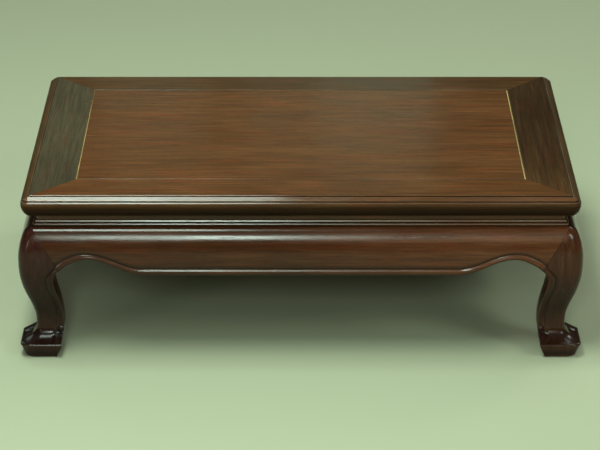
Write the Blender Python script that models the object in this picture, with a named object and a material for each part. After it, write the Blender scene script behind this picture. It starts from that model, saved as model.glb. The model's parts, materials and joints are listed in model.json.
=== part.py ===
"""Low display table in dark lacquered hardwood.

A mitred frame holds a floating panel. Under it come a recessed waist, a stepped bead and four
bulging aprons, which meet four S-curved legs at mitred shoulders with hidden dovetail keys.
The length runs along X, the front faces -Y, and the origin is on the floor under the middle of the top.

An inset is measured inwards from the widest outline of the top, so the bulges have negative insets.
"""

import math

import bmesh
import bpy

# Overall sizes, in metres
TOP_LENGTH = 0.730
TOP_DEPTH = 0.476
HEIGHT = 0.227

# Clearance between two pieces that meet
FIT = 0.0003

# Frame of the top
RAIL_WIDTH = 0.0675
RAIL_THICKNESS = 0.030
TOP_CORNER_RADIUS = 0.010

# Edge moulding of the frame: a lip, a sloping band, a small step and a round nose
LIP_INSET = 0.0118
LIP_DROP = 0.0013
LIP_BEVEL_RUN = 0.0010
LIP_BEVEL_FALL = 0.0006
BAND_TOP_INSET = 0.0098
BAND_FOOT_INSET = 0.0028
BAND_FALL = 0.0041
STEP_DROP = 0.0012
NOSE_TOP_INSET = 0.0025
NOSE_BEVEL_RUN = 0.0011
NOSE_BEVEL_FALL = 0.0006
NOSE_RISE = 0.0043
NOSE_RUN = 0.0185

# Floating panel and its groove
PANEL_THICKNESS = 0.012
PANEL_REVEAL = 0.0004
TONGUE_THICKNESS = 0.005
TONGUE_RISE = 0.002
TONGUE_REACH = 0.007
PANEL_ROOM = 0.0015
END_REBATE_WIDTH = 0.0016
SIDE_REBATE_WIDTH = 0.0006
REBATE_DEPTH = 0.0012

# Tenons that lock the mitres of the frame
RAIL_TENON_THICKNESS = 0.007
RAIL_TENON_START = 0.022
RAIL_TENON_TIP = 0.016
TENON_WALL = 0.003
GROOVE_WALL = 0.007

# Battens under the panel
BATTEN_SPACING = 0.300
BATTEN_WIDTH = 0.030
BATTEN_DEPTH = 0.014
DOVETAIL_NECK = 0.016
DOVETAIL_HEAD = 0.020
DOVETAIL_HEIGHT = 0.004
BATTEN_TENON_WIDTH = 0.016
BATTEN_TENON_HEIGHT = 0.008
BATTEN_TENON_LENGTH = 0.014

# Waist
WAIST_HEIGHT = 0.0070
WAIST_INSET = 0.0195
WAIST_CORNER_RADIUS = 0.002
WAIST_SHOULDER = 0.0017
WAIST_TONGUE_THICKNESS = 0.003
WAIST_TONGUE_HEIGHT = 0.0037
WAIST_BACK_SHOULDER = 0.0018

# Stepped bead between the waist and the aprons
BEAD_HEIGHT = 0.0065
LOWER_BEAD_HEIGHT = 0.0033
LOWER_BEAD_INSET = 0.0138
UPPER_BEAD_INSET = 0.0172
BEAD_CORNER_RADIUS = 0.004

# Back of the aprons
APRON_BACK_INSET = 0.018

# Bulging face that the aprons share with the legs
SHOULDER_INSET = 0.011
BELLY_OUT = 0.006
BELLY_DROP = 0.0442
ANKLE_INSET = 0.0137
ANKLE_HEIGHT = 0.045
OUTER_SKEW = 1.30

# Lower edge of the aprons: flat in the middle, an ogee up to a peak, an arch down to the leg
APRON_HEIGHT = 0.0622
OGEE_START_INSET = 0.160
OGEE_HANDLE = 0.030
PEAK_INSET = 0.084
PEAK_RISE = 0.022
PEAK_HANDLE = 0.018
SPRING_DROP = 0.008
SPRING_HANDLE = 0.011

# Bead along the lower edge of the aprons and down the legs, with a hollow beside it
EDGE_BEAD_WIDTH = 0.0075
EDGE_BEAD_RISE = 0.0010
EDGE_HOLLOW_WIDTH = 0.0060
EDGE_HOLLOW_DEPTH = 0.0013
ANKLE_BEAD_SHARE = 0.5

# Mitre between an apron and a leg, and the dovetail key behind it
SEAM_HEAD_INSET = 0.014
SEAM_FOOT_INSET = 0.049
KEY_EDGE = 0.008
KEY_ROOT_WIDTH = 0.010
KEY_HEAD_WIDTH = 0.014
KEY_DEPTH = 0.007
KEY_TOP_DROP = 0.009

# Legs
LEG_SPRING_INSET = 0.0395
LEG_ANKLE_INNER_INSET = 0.0508
INNER_SKEW = 0.80
LEG_CORNER_RADIUS = 0.008
ANKLE_CHAMFER = 0.016
POST_CHAMFER = 0.008
POST_INNER_INSET = 0.052
POST_SETBACK = 0.0005
POST_CORNER_RADIUS = 0.002

# Feet: a taper up to an arris and a cove up to the ankle, with a plain slope under the bead
FOOT_ARRIS_HEIGHT = 0.020
FOOT_TOP_HEIGHT = 0.040
FOOT_SLOPE_TOP = 0.0318
FOOT_OUT = 0.0075
FOOT_COVE_RUN = 0.0061
FOOT_COVE_RISE = 0.0051
FOOT_COVE_DROP = 0.010
FOOT_ARRIS_INNER_INSET = 0.0478
FOOT_TAPER_OUTER = 0.0054
FOOT_TAPER_INNER = 0.0061
FOOT_ROUND_HEIGHT = 0.004
FOOT_ROUND_RUN = 0.0022

# Tenons on the legs, up into the frame
LEG_TENON_HEIGHT = 0.012
LEG_TENON_END_SHOULDER = 0.0015
LEG_TENON_LENGTH = 0.009
LEG_TENON_FACE_SHOULDER = 0.0042
LEG_TENON_THICKNESS = 0.006

# Glue blocks behind the legs
BLOCK_REACH = 0.092
BLOCK_HEIGHT = 0.018
BLOCK_DROP = 0.005

# Facets
CORNER_STEPS = 4
NOSE_STEPS = 6
LIP_STEPS = 3
BULGE_STEPS = 8
CALF_STEPS = 11
ARCH_STEPS = 6
OGEE_STEPS = 8
FOOT_STEPS = 7
EDGE_BEAD_STEPS = 4
EDGE_HOLLOW_STEPS = 2
SHARP_ANGLE = math.radians(32)
WELD_DIGITS = 7
HALVINGS = 30

# Overshoot of a cutter past what it cuts
CUT_MARGIN = 0.020

# Finishes: colour, roughness
PANEL_FINISH = ((0.130, 0.058, 0.024), 0.22)
RAIL_FINISH = ((0.060, 0.030, 0.017), 0.22)
WAIST_FINISH = ((0.036, 0.016, 0.010), 0.30)
APRON_FINISH = ((0.065, 0.027, 0.013), 0.22)
LEG_FINISH = ((0.034, 0.014, 0.009), 0.25)
RAW_FINISH = ((0.260, 0.165, 0.090), 0.65)

# Levels and positions that follow from the sizes
HALF_LENGTH = TOP_LENGTH / 2
HALF_DEPTH = TOP_DEPTH / 2
RAIL_BOTTOM = HEIGHT - RAIL_THICKNESS
WAIST_BOTTOM = RAIL_BOTTOM - FIT - WAIST_HEIGHT
BEAD_BOTTOM = WAIST_BOTTOM - FIT - BEAD_HEIGHT
SHOULDER_Z = BEAD_BOTTOM - FIT
BELLY_Z = SHOULDER_Z - BELLY_DROP
APRON_Z = SHOULDER_Z - APRON_HEIGHT
PEAK_Z = APRON_Z + PEAK_RISE
SPRING_Z = APRON_Z - SPRING_DROP
PANEL_BOTTOM = HEIGHT - PANEL_THICKNESS
TONGUE_BOTTOM = PANEL_BOTTOM + TONGUE_RISE
TONGUE_TOP = TONGUE_BOTTOM + TONGUE_THICKNESS
GROOVE_INSET = RAIL_WIDTH - TONGUE_REACH - PANEL_ROOM
RAIL_TENON_END = GROOVE_INSET - GROOVE_WALL
RAIL_TENON_BOTTOM = RAIL_BOTTOM + LEG_TENON_HEIGHT + TENON_WALL
RAIL_TENON_TOP = RAIL_TENON_BOTTOM + RAIL_TENON_THICKNESS
BATTEN_TOP = PANEL_BOTTOM - FIT
BATTEN_BOTTOM = BATTEN_TOP - BATTEN_DEPTH
WAIST_TONGUE_INSET = WAIST_INSET + WAIST_SHOULDER
WAIST_TONGUE_BACK = WAIST_TONGUE_INSET + WAIST_TONGUE_THICKNESS
RIM_BACK_INSET = WAIST_TONGUE_BACK + WAIST_BACK_SHOULDER
POST_INSET = RIM_BACK_INSET + FIT + POST_SETBACK
POST_BACK_INSET = POST_INNER_INSET - POST_SETBACK
LEG_TENON_END = POST_BACK_INSET - LEG_TENON_END_SHOULDER
LEG_TENON_START = LEG_TENON_END - LEG_TENON_LENGTH
LEG_TENON_INSET = POST_INSET + LEG_TENON_FACE_SHOULDER
KEY_INSET = POST_INNER_INSET - KEY_EDGE - KEY_HEAD_WIDTH / 2

# Side name, turn about Z and whether the piece runs along the length
SIDES = (("front", 0, True), ("right", 1, False), ("back", 2, True), ("left", 3, False))

# Corner name, sign of X, sign of Y and turn about Z
CORNERS = (
    ("front_left", -1, -1, 0),
    ("front_right", 1, -1, 1),
    ("back_right", 1, 1, 2),
    ("back_left", -1, 1, 3),
)


def clear_scene():
    for item in list(bpy.data.objects):
        bpy.data.objects.remove(item, do_unlink=True)


def loft(rings):
    """Closed body through rings of equal counts; points that coincide share a vertex."""
    mesh_edit = bmesh.new()
    found = {}

    def vertex(point):
        key = tuple(round(value, WELD_DIGITS) for value in point)
        if key not in found:
            found[key] = mesh_edit.verts.new(point)
        return found[key]

    def face(points):
        corners = list(dict.fromkeys(vertex(point) for point in points))
        if len(corners) > 2:
            mesh_edit.faces.new(corners)

    count = len(rings[0])
    for lower, upper in zip(rings, rings[1:]):
        for first in range(count):
            second = (first + 1) % count
            face((lower[first], lower[second], upper[second], upper[first]))
    face(rings[0])
    face(rings[-1])
    bmesh.ops.recalc_face_normals(mesh_edit, faces=mesh_edit.faces)
    mesh = bpy.data.meshes.new("shape")
    mesh_edit.to_mesh(mesh)
    mesh_edit.free()
    return mesh


def prism(outline, low, high):
    """Outline of (x, y) points, drawn from one height to another."""
    return loft([[(x, y, z) for x, y in outline] for z in (low, high)])


def box(low, high):
    outline = [(low[0], low[1]), (high[0], low[1]), (high[0], high[1]), (low[0], high[1])]
    return prism(outline, low[2], high[2])


def linked(mesh, name="shape"):
    item = bpy.data.objects.new(name, mesh)
    bpy.context.scene.collection.objects.link(item)
    return item


def combine(mesh, tools, operation):
    """The mesh after a Boolean with each tool mesh in turn."""
    for tool in tools:
        target = linked(mesh)
        cutter = linked(tool)
        modifier = target.modifiers.new("combine", "BOOLEAN")
        modifier.operation = operation
        modifier.solver = "EXACT"
        modifier.object = cutter
        depsgraph = bpy.context.evaluated_depsgraph_get()
        mesh = bpy.data.meshes.new_from_object(target.evaluated_get(depsgraph))
        bpy.data.objects.remove(target)
        bpy.data.objects.remove(cutter)
    return mesh


def place(name, mesh, finish, location=(0, 0, 0), quarter_turns=0):
    """Named piece with its own copy of the mesh and its own material."""
    own = mesh.copy()
    own.name = name
    own.shade_smooth()
    own.set_sharp_from_angle(angle=SHARP_ANGLE)
    colour, roughness = finish
    material = bpy.data.materials.new(name + "_finish")
    material.use_nodes = True
    shader = material.node_tree.nodes["Principled BSDF"]
    shader.inputs["Base Color"].default_value = (*colour, 1)
    shader.inputs["Roughness"].default_value = roughness
    shader.inputs["Metallic"].default_value = 0
    own.materials.clear()
    own.materials.append(material)
    item = linked(own, name)
    item.location = location
    item.rotation_euler.z = quarter_turns * math.pi / 2
    return item


def place_on_sides(prefix, long_mesh, short_mesh, finish):
    """One piece on each side: the meshes are drawn along X, with their insets towards +Y."""
    locations = ((0, -HALF_DEPTH, 0), (HALF_LENGTH, 0, 0), (0, HALF_DEPTH, 0), (-HALF_LENGTH, 0, 0))
    for (side, turns, is_long), location in zip(SIDES, locations):
        place(f"{prefix}_{side}", long_mesh if is_long else short_mesh, finish, location, turns)


def place_on_corners(prefix, mesh, finish):
    """One piece on each corner: the mesh is drawn from the corner, symmetric about its diagonal."""
    for corner, x_sign, y_sign, turns in CORNERS:
        location = (x_sign * HALF_LENGTH, y_sign * HALF_DEPTH, 0)
        place(f"{prefix}_{corner}", mesh, finish, location, turns)


def mitred_strip(profile, half_run, corner_radius, steps):
    """Profile of (inset, z) points between two mitres, with its outer corners rounded in plan."""
    centre = min(inset for inset, z in profile) + corner_radius
    mitre_setback = FIT / math.sqrt(2)

    def station(angle, end):
        points = []
        for inset, z in profile:
            radius = max(centre - inset, 0)
            base = max(centre, inset)
            along = half_run - base + radius * math.sin(angle) - mitre_setback
            points.append((end * along, base - radius * math.cos(angle), z))
        return points

    angles = [math.pi / 4 * step / steps for step in range(steps + 1)]
    rings = [station(angle, -1) for angle in reversed(angles)]
    rings += [station(angle, 1) for angle in angles]
    return loft(rings)


def quarter_round(start, end, steps, leaves_level):
    """Quarter ellipse between two (inset, z) points, without its start point."""
    points = []
    for step in range(1, steps + 1):
        angle = math.pi / 2 * step / steps
        rise, run = math.sin(angle), 1 - math.cos(angle)
        across, down = (rise, run) if leaves_level else (run, rise)
        points.append((start[0] + (end[0] - start[0]) * across, start[1] + (end[1] - start[1]) * down))
    return points


def rail_profile():
    """Section of a frame rail, from its inner top edge outwards and round."""
    band_top = HEIGHT - LIP_DROP
    nose_top = band_top - BAND_FALL - STEP_DROP
    points = [(RAIL_WIDTH, HEIGHT), (LIP_INSET + LIP_BEVEL_RUN, HEIGHT)]
    points += [(LIP_INSET, HEIGHT - LIP_BEVEL_FALL), (LIP_INSET, band_top)]
    points += [(BAND_TOP_INSET, band_top), (BAND_FOOT_INSET, band_top - BAND_FALL)]
    points += [(BAND_FOOT_INSET, nose_top), (NOSE_TOP_INSET, nose_top)]
    bevel_foot = (NOSE_TOP_INSET - NOSE_BEVEL_RUN, nose_top - NOSE_BEVEL_FALL)
    widest = (0, nose_top - NOSE_RISE)
    shoulder = (bevel_foot[0] - NOSE_BEVEL_RUN, bevel_foot[1] - NOSE_BEVEL_FALL)
    handles = shoulder, (0, (shoulder[1] + widest[1]) / 2)
    for step in range(LIP_STEPS + 1):
        points.append(bezier((bevel_foot, *handles, widest), step / LIP_STEPS))
    points += quarter_round(widest, (NOSE_RUN, RAIL_BOTTOM), NOSE_STEPS, False)
    groove_outer = WAIST_TONGUE_INSET - FIT
    groove_inner = WAIST_TONGUE_BACK + FIT
    groove_top = RAIL_BOTTOM + WAIST_TONGUE_HEIGHT + FIT
    points += [(groove_outer, RAIL_BOTTOM), (groove_outer, groove_top)]
    points += [(groove_inner, groove_top), (groove_inner, RAIL_BOTTOM)]
    points += [(RAIL_WIDTH, RAIL_BOTTOM), (RAIL_WIDTH, TONGUE_BOTTOM - FIT)]
    points += [(GROOVE_INSET, TONGUE_BOTTOM - FIT), (GROOVE_INSET, TONGUE_TOP + FIT)]
    points.append((RAIL_WIDTH, TONGUE_TOP + FIT))
    return points


def both_ends(half_run, start, end, inset_low, inset_high, low, high):
    """Two boxes, at the same distances from either end of a rail."""
    boxes = []
    for left, right in ((start - half_run, end - half_run), (half_run - end, half_run - start)):
        boxes.append(box((left, inset_low, low), (right, inset_high, high)))
    return boxes


def leg_mortises(half_run):
    return both_ends(
        half_run,
        LEG_TENON_START - FIT,
        LEG_TENON_END + FIT,
        LEG_TENON_INSET - FIT,
        LEG_TENON_INSET + LEG_TENON_THICKNESS + FIT,
        RAIL_BOTTOM - CUT_MARGIN,
        RAIL_BOTTOM + LEG_TENON_HEIGHT + FIT,
    )


def batten_mortises():
    half_width = BATTEN_TENON_WIDTH / 2 + FIT
    low, high = batten_tenon_heights()
    inset = RAIL_WIDTH - BATTEN_TENON_LENGTH - FIT
    boxes = []
    for middle in (-BATTEN_SPACING / 2, BATTEN_SPACING / 2):
        left, right = middle - half_width, middle + half_width
        boxes.append(box((left, inset, low - FIT), (right, RAIL_WIDTH + CUT_MARGIN, high + FIT)))
    return boxes


def batten_tenon_heights():
    middle = (BATTEN_TOP + BATTEN_BOTTOM) / 2
    return middle - BATTEN_TENON_HEIGHT / 2, middle + BATTEN_TENON_HEIGHT / 2


def make_long_rail():
    """Front or back rail, with tenons that lock the mitres and mortises for the battens and legs."""
    rail = mitred_strip(rail_profile(), HALF_LENGTH, TOP_CORNER_RADIUS, CORNER_STEPS)
    tenons = both_ends(
        HALF_LENGTH,
        RAIL_TENON_TIP,
        RAIL_WIDTH,
        RAIL_TENON_START,
        RAIL_TENON_END,
        RAIL_TENON_BOTTOM,
        RAIL_TENON_TOP,
    )
    rail = combine(rail, tenons, "UNION")
    return combine(rail, batten_mortises() + leg_mortises(HALF_LENGTH), "DIFFERENCE")


def make_end_rail():
    """Left or right rail, with mortises for the long rails and the legs."""
    rail = mitred_strip(rail_profile(), HALF_DEPTH, TOP_CORNER_RADIUS, CORNER_STEPS)
    mortises = both_ends(
        HALF_DEPTH,
        RAIL_TENON_START - FIT,
        RAIL_TENON_END + FIT,
        RAIL_TENON_TIP - FIT,
        RAIL_WIDTH,
        RAIL_TENON_BOTTOM - FIT,
        RAIL_TENON_TOP + FIT,
    )
    return combine(rail, mortises + leg_mortises(HALF_DEPTH), "DIFFERENCE")


def dovetail_outline(gap):
    """Section of a batten's dovetail as (x, z), with its neck level with the top of the batten."""
    neck, head = DOVETAIL_NECK / 2 + gap, DOVETAIL_HEAD / 2 + gap
    top = BATTEN_TOP + DOVETAIL_HEIGHT + gap
    return [(neck, BATTEN_TOP), (head, top), (-head, top), (-neck, BATTEN_TOP)]


def along_depth(outline, middle, half_run):
    """Outline of (x, z) points, drawn from front to back."""
    return loft([[(middle + x, y, z) for x, z in outline] for y in (-half_run, half_run)])


def make_panel():
    open_x, open_y = HALF_LENGTH - RAIL_WIDTH, HALF_DEPTH - RAIL_WIDTH
    field_x, field_y = open_x - PANEL_REVEAL, open_y - PANEL_REVEAL
    tongue_x, tongue_y = open_x + TONGUE_REACH, open_y + TONGUE_REACH
    levels = (
        (field_x, field_y, PANEL_BOTTOM),
        (field_x, field_y, TONGUE_BOTTOM),
        (tongue_x, tongue_y, TONGUE_BOTTOM),
        (tongue_x, tongue_y, TONGUE_TOP),
        (field_x, field_y, TONGUE_TOP),
        (field_x, field_y, HEIGHT - REBATE_DEPTH),
        (field_x - END_REBATE_WIDTH, field_y - SIDE_REBATE_WIDTH, HEIGHT - REBATE_DEPTH),
        (field_x - END_REBATE_WIDTH, field_y - SIDE_REBATE_WIDTH, HEIGHT),
    )
    panel = loft([[(-x, -y, z), (x, -y, z), (x, y, z), (-x, y, z)] for x, y, z in levels])
    housings = []
    for middle in (-BATTEN_SPACING / 2, BATTEN_SPACING / 2):
        outline = dovetail_outline(FIT)
        outline = [(outline[0][0], PANEL_BOTTOM - CUT_MARGIN)] + outline
        outline.append((-outline[0][0], PANEL_BOTTOM - CUT_MARGIN))
        housings.append(along_depth(outline, middle, HALF_DEPTH))
    return combine(panel, housings, "DIFFERENCE")


def make_batten():
    half_width, half_run = BATTEN_WIDTH / 2, HALF_DEPTH - RAIL_WIDTH - FIT
    outline = [(half_width, BATTEN_BOTTOM), (half_width, BATTEN_TOP)] + dovetail_outline(0)
    outline += [(-half_width, BATTEN_TOP), (-half_width, BATTEN_BOTTOM)]
    batten = along_depth(outline, 0, half_run)
    low, high = batten_tenon_heights()
    reach = HALF_DEPTH - RAIL_WIDTH + BATTEN_TENON_LENGTH
    half_tenon = BATTEN_TENON_WIDTH / 2
    return combine(batten, [box((-half_tenon, -reach, low), (half_tenon, reach, high))], "UNION")


def make_waist(half_run):
    top = WAIST_BOTTOM + WAIST_HEIGHT
    tongue_top = RAIL_BOTTOM + WAIST_TONGUE_HEIGHT
    profile = [(RIM_BACK_INSET, WAIST_BOTTOM), (WAIST_INSET, WAIST_BOTTOM), (WAIST_INSET, top)]
    profile += [(WAIST_TONGUE_INSET, top), (WAIST_TONGUE_INSET, tongue_top)]
    profile += [(WAIST_TONGUE_BACK, tongue_top), (WAIST_TONGUE_BACK, top), (RIM_BACK_INSET, top)]
    return mitred_strip(profile, half_run, WAIST_CORNER_RADIUS, CORNER_STEPS)


def half_round(inset, low, high, steps):
    """Bulging nosing from its lower to its upper edge, both set back by its radius."""
    middle, radius = (low + high) / 2, (high - low) / 2
    points = []
    for step in range(2 * steps + 1):
        angle = math.pi / 2 * (step / steps - 1)
        points.append((inset + radius * (1 - math.cos(angle)), middle + radius * math.sin(angle)))
    return points


def make_shoulder_bead(half_run):
    parting = BEAD_BOTTOM + LOWER_BEAD_HEIGHT
    top = BEAD_BOTTOM + BEAD_HEIGHT
    profile = [(RIM_BACK_INSET, BEAD_BOTTOM)]
    profile += half_round(LOWER_BEAD_INSET, BEAD_BOTTOM, parting, LIP_STEPS)
    profile += half_round(UPPER_BEAD_INSET, parting, top, LIP_STEPS)
    profile.append((RIM_BACK_INSET, top))
    return mitred_strip(profile, half_run, BEAD_CORNER_RADIUS, CORNER_STEPS)


def ease(share, skew):
    return 0.5 - 0.5 * math.cos(math.pi * min(max(share, 0), 1) ** skew)


def face_inset(z):
    """Inset of the bulging face: a quarter ellipse from the shoulder, then an S down to the ankle."""
    if z >= BELLY_Z:
        share = min((z - BELLY_Z) / BELLY_DROP, 1)
        return (SHOULDER_INSET + BELLY_OUT) * (1 - math.sqrt(1 - share * share)) - BELLY_OUT
    share = (BELLY_Z - z) / (BELLY_Z - ANKLE_HEIGHT)
    return (ANKLE_INSET + BELLY_OUT) * ease(share, OUTER_SKEW) - BELLY_OUT


def bezier(points, share):
    rest = 1 - share
    weights = (rest ** 3, 3 * rest ** 2 * share, 3 * rest * share ** 2, share ** 3)
    return tuple(sum(weight * point[axis] for weight, point in zip(weights, points)) for axis in (0, 1))


def arch(share):
    """Arch of the lower edge, from the leg up to the peak, as (inset, z)."""
    start, end = (LEG_SPRING_INSET, SPRING_Z), (PEAK_INSET, PEAK_Z)
    handles = (start[0], start[1] + SPRING_HANDLE), (end[0] - PEAK_HANDLE, end[1])
    return bezier((start, *handles, end), share)


def ogee(share):
    """Ogee of the lower edge, from the peak down to the flat."""
    start, end = (PEAK_INSET, PEAK_Z), (OGEE_START_INSET, APRON_Z)
    handles = (start[0] + OGEE_HANDLE, start[1]), (end[0] - OGEE_HANDLE, end[1])
    return bezier((start, *handles, end), share)


def arch_share_at(inset):
    """Place on the arch with the given inset, found by halving."""
    low, high = 0.0, 1.0
    for step in range(HALVINGS):
        middle = (low + high) / 2
        if arch(middle)[0] < inset:
            low = middle
        else:
            high = middle
    return low


SEAM_SHARE = arch_share_at(SEAM_FOOT_INSET)
SEAM_FOOT_Z = arch(SEAM_SHARE)[1]
SEAM_RUN = SEAM_FOOT_INSET - SEAM_HEAD_INSET
SEAM_RISE = SHOULDER_Z - SEAM_FOOT_Z
SEAM_SETBACK = FIT / 2 * math.hypot(SEAM_RUN, SEAM_RISE) / SEAM_RISE


def seam_inset(z):
    """Inset of the mitre between an apron and a leg, on the face."""
    return SEAM_FOOT_INSET - (z - SEAM_FOOT_Z) * SEAM_RUN / SEAM_RISE


def hollow_share(distance):
    """How much of the hollow's depth is left at a distance from the edge: all of it under the bead."""
    return 1 - ease((distance - EDGE_BEAD_WIDTH) / EDGE_HOLLOW_WIDTH, 1)


def edge_bead():
    """Section of the half-round bead and its hollow: distance from the edge, and how far it stands out."""
    height = EDGE_BEAD_RISE + EDGE_HOLLOW_DEPTH
    points = []
    for step in range(EDGE_BEAD_STEPS + 1):
        angle = math.pi * step / EDGE_BEAD_STEPS
        distance = EDGE_BEAD_WIDTH * (1 - math.cos(angle)) / 2
        points.append((distance, height * math.sin(angle) - EDGE_HOLLOW_DEPTH))
    for step in range(1, EDGE_HOLLOW_STEPS + 1):
        distance = EDGE_BEAD_WIDTH + EDGE_HOLLOW_WIDTH * step / EDGE_HOLLOW_STEPS
        points.append((distance, -EDGE_HOLLOW_DEPTH * hollow_share(distance)))
    return points


def apron_columns():
    """Foot and head of each column of the apron, as (inset, z), from the mitre to the flat."""
    feet = [arch(SEAM_SHARE + (1 - SEAM_SHARE) * step / ARCH_STEPS) for step in range(ARCH_STEPS)]
    feet += [ogee(step / OGEE_STEPS) for step in range(OGEE_STEPS + 1)]
    columns = []
    for inset, z in feet:
        share = (inset - SEAM_FOOT_INSET) / (OGEE_START_INSET - SEAM_FOOT_INSET)
        lean = SEAM_RUN * (1 - ease(share, 1))
        columns.append(((inset + SEAM_SETBACK, z), (inset - lean + SEAM_SETBACK, SHOULDER_Z)))
    return columns


def apron_ring(foot, head, half_run, end):
    """Section of the apron along one column, from its back edge over the bead to the shoulder."""
    length = math.dist(foot, head)
    bead = edge_bead()
    bead_share = bead[-1][0] / length
    marks = [(distance / length, rise) for distance, rise in bead]
    for step in range(1, BULGE_STEPS + 1):
        share = math.sin(math.pi / 2 * step / BULGE_STEPS)
        marks.append((bead_share + (1 - bead_share) * share, 0))
    ring = [(end * (half_run - foot[0]), APRON_BACK_INSET, foot[1])]
    for share, rise in marks:
        inset = foot[0] + (head[0] - foot[0]) * share
        z = foot[1] + (head[1] - foot[1]) * share
        ring.append((end * (half_run - inset), face_inset(z) - rise, z))
    ring.append((end * (half_run - head[0]), APRON_BACK_INSET, head[1]))
    return ring


def key_outline(gap):
    """Plan of the dovetail key, from its root in the leg to its head in the apron."""
    root = KEY_ROOT_WIDTH / 2 + gap
    head = KEY_HEAD_WIDTH / 2 + gap
    tip = APRON_BACK_INSET - KEY_DEPTH - gap
    buried = APRON_BACK_INSET + TENON_WALL
    near_side = [(KEY_INSET - root, buried), (KEY_INSET - head, tip)]
    far_side = [(KEY_INSET + head, tip), (KEY_INSET + root, buried)]
    return near_side + far_side


def mitre_outline():
    """Plan of what the neighbouring apron takes, past the diagonal of the corner."""
    setback = FIT / math.sqrt(2)
    low, high = -CUT_MARGIN, APRON_BACK_INSET + CUT_MARGIN
    return [(low, low - setback), (high, high - setback), (low, high)]


def make_apron(half_run):
    columns = apron_columns()
    rings = [apron_ring(foot, head, half_run, -1) for foot, head in columns]
    rings += [apron_ring(foot, head, half_run, 1) for foot, head in reversed(columns)]
    cuts = []
    for end in (-1, 1):
        slot = [(end * (half_run - along), inset) for along, inset in key_outline(FIT)]
        cuts.append(prism(slot, SEAM_FOOT_Z - CUT_MARGIN, SHOULDER_Z - KEY_TOP_DROP + FIT))
        mitre = [(end * (half_run - along), inset) for along, inset in mitre_outline()]
        cuts.append(prism(mitre, SEAM_FOOT_Z - CUT_MARGIN, SHOULDER_Z + CUT_MARGIN))
    return combine(loft(rings), cuts, "DIFFERENCE")


def between(start, end, share):
    return start + (end - start) * share


def leg_ring(
    z, outer, inner, chamfer=POST_CHAMFER, bead_share=1, slope_setback=0, radius=LEG_CORNER_RADIUS
):
    """Section of the leg, symmetric about its diagonal, with a bead at the inner edge of both faces."""
    face = []
    for distance, rise in edge_bead():
        setback = slope_setback * hollow_share(distance) - rise * bead_share
        face.append((inner - distance, outer + setback))
    centre = outer + radius
    corner = []
    for step in range(CORNER_STEPS + 1):
        angle = math.pi / 2 * step / CORNER_STEPS
        corner.append((centre - radius * math.sin(angle), centre - radius * math.cos(angle)))
    other_face = [(second, first) for first, second in reversed(face)]
    back = [(inner - chamfer, inner), (inner, inner - chamfer)]
    return [(first, second, z) for first, second in face + corner + other_face + back]


def foot_rings():
    """Foot, from the floor to the top of the cove."""
    base_outer, base_inner = FOOT_TAPER_OUTER - FOOT_OUT, FOOT_ARRIS_INNER_INSET - FOOT_TAPER_INNER
    levels = [
        (0, base_outer + FOOT_ROUND_RUN, base_inner - FOOT_ROUND_RUN),
        (FOOT_ROUND_HEIGHT, base_outer, base_inner),
        (FOOT_ARRIS_HEIGHT, -FOOT_OUT, FOOT_ARRIS_INNER_INSET),
    ]
    rings = [leg_ring(*level, ANKLE_CHAMFER, 0) for level in levels]
    arris = (-FOOT_OUT, FOOT_ARRIS_HEIGHT)
    neck = (face_inset(FOOT_TOP_HEIGHT), FOOT_TOP_HEIGHT)
    handles = (arris[0] + FOOT_COVE_RUN, arris[1] + FOOT_COVE_RISE), (neck[0], neck[1] - FOOT_COVE_DROP)
    for step in range(1, FOOT_STEPS + 1):
        outer, z = bezier((arris, *handles, neck), step / FOOT_STEPS)
        rise = (z - FOOT_ARRIS_HEIGHT) / (FOOT_TOP_HEIGHT - FOOT_ARRIS_HEIGHT)
        inner = between(FOOT_ARRIS_INNER_INSET, LEG_ANKLE_INNER_INSET, ease(rise, 1))
        climb = min((z - FOOT_ARRIS_HEIGHT) / (FOOT_SLOPE_TOP - FOOT_ARRIS_HEIGHT), 1)
        slope = between(-FOOT_OUT, neck[0], climb)
        rings.append(leg_ring(z, outer, inner, ANKLE_CHAMFER, 0, slope - outer))
    return rings


def calf_rings():
    """Calf, from above the foot to below the spring of the arch."""
    rings = []
    for step in range(1, CALF_STEPS):
        z = between(FOOT_TOP_HEIGHT, SPRING_Z, step / CALF_STEPS)
        share = ease((SPRING_Z - z) / (SPRING_Z - ANKLE_HEIGHT), INNER_SKEW)
        inner = between(LEG_SPRING_INSET, LEG_ANKLE_INNER_INSET, share)
        chamfer = between(POST_CHAMFER, ANKLE_CHAMFER, share)
        rings.append(leg_ring(z, face_inset(z), inner, chamfer, between(1, ANKLE_BEAD_SHARE, share)))
    return rings


def shoulder_rings():
    """Shoulder, from the spring of the arch up, and the post that stands on it."""
    top_share = arch_share_at(POST_INNER_INSET)
    rings = []
    for step in range(ARCH_STEPS):
        inner, z = arch(top_share * step / (ARCH_STEPS - 1))
        rings.append(leg_ring(z, face_inset(z), inner))
    start = z
    for step in range(1, BULGE_STEPS + 1):
        z = between(start, SHOULDER_Z, math.sin(math.pi / 2 * step / BULGE_STEPS))
        rings.append(leg_ring(z, face_inset(z), POST_INNER_INSET))
    for z in (SHOULDER_Z, RAIL_BOTTOM - FIT):
        rings.append(leg_ring(z, POST_INSET, POST_BACK_INSET, bead_share=0, radius=POST_CORNER_RADIUS))
    return rings


def seam_cutter(swap):
    """Everything on the apron's side of the mitre, down to the back of the apron."""
    low, high = SEAM_FOOT_Z - CUT_MARGIN, SHOULDER_Z + CUT_MARGIN
    side = [(seam_inset(z) - SEAM_SETBACK, z) for z in (low, high)]
    side += [(OGEE_START_INSET, high), (OGEE_START_INSET, low)]
    rings = []
    for inset in (-CUT_MARGIN, APRON_BACK_INSET + FIT):
        rings.append([(inset, along, z) if swap else (along, inset, z) for along, z in side])
    return loft(rings)


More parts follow.
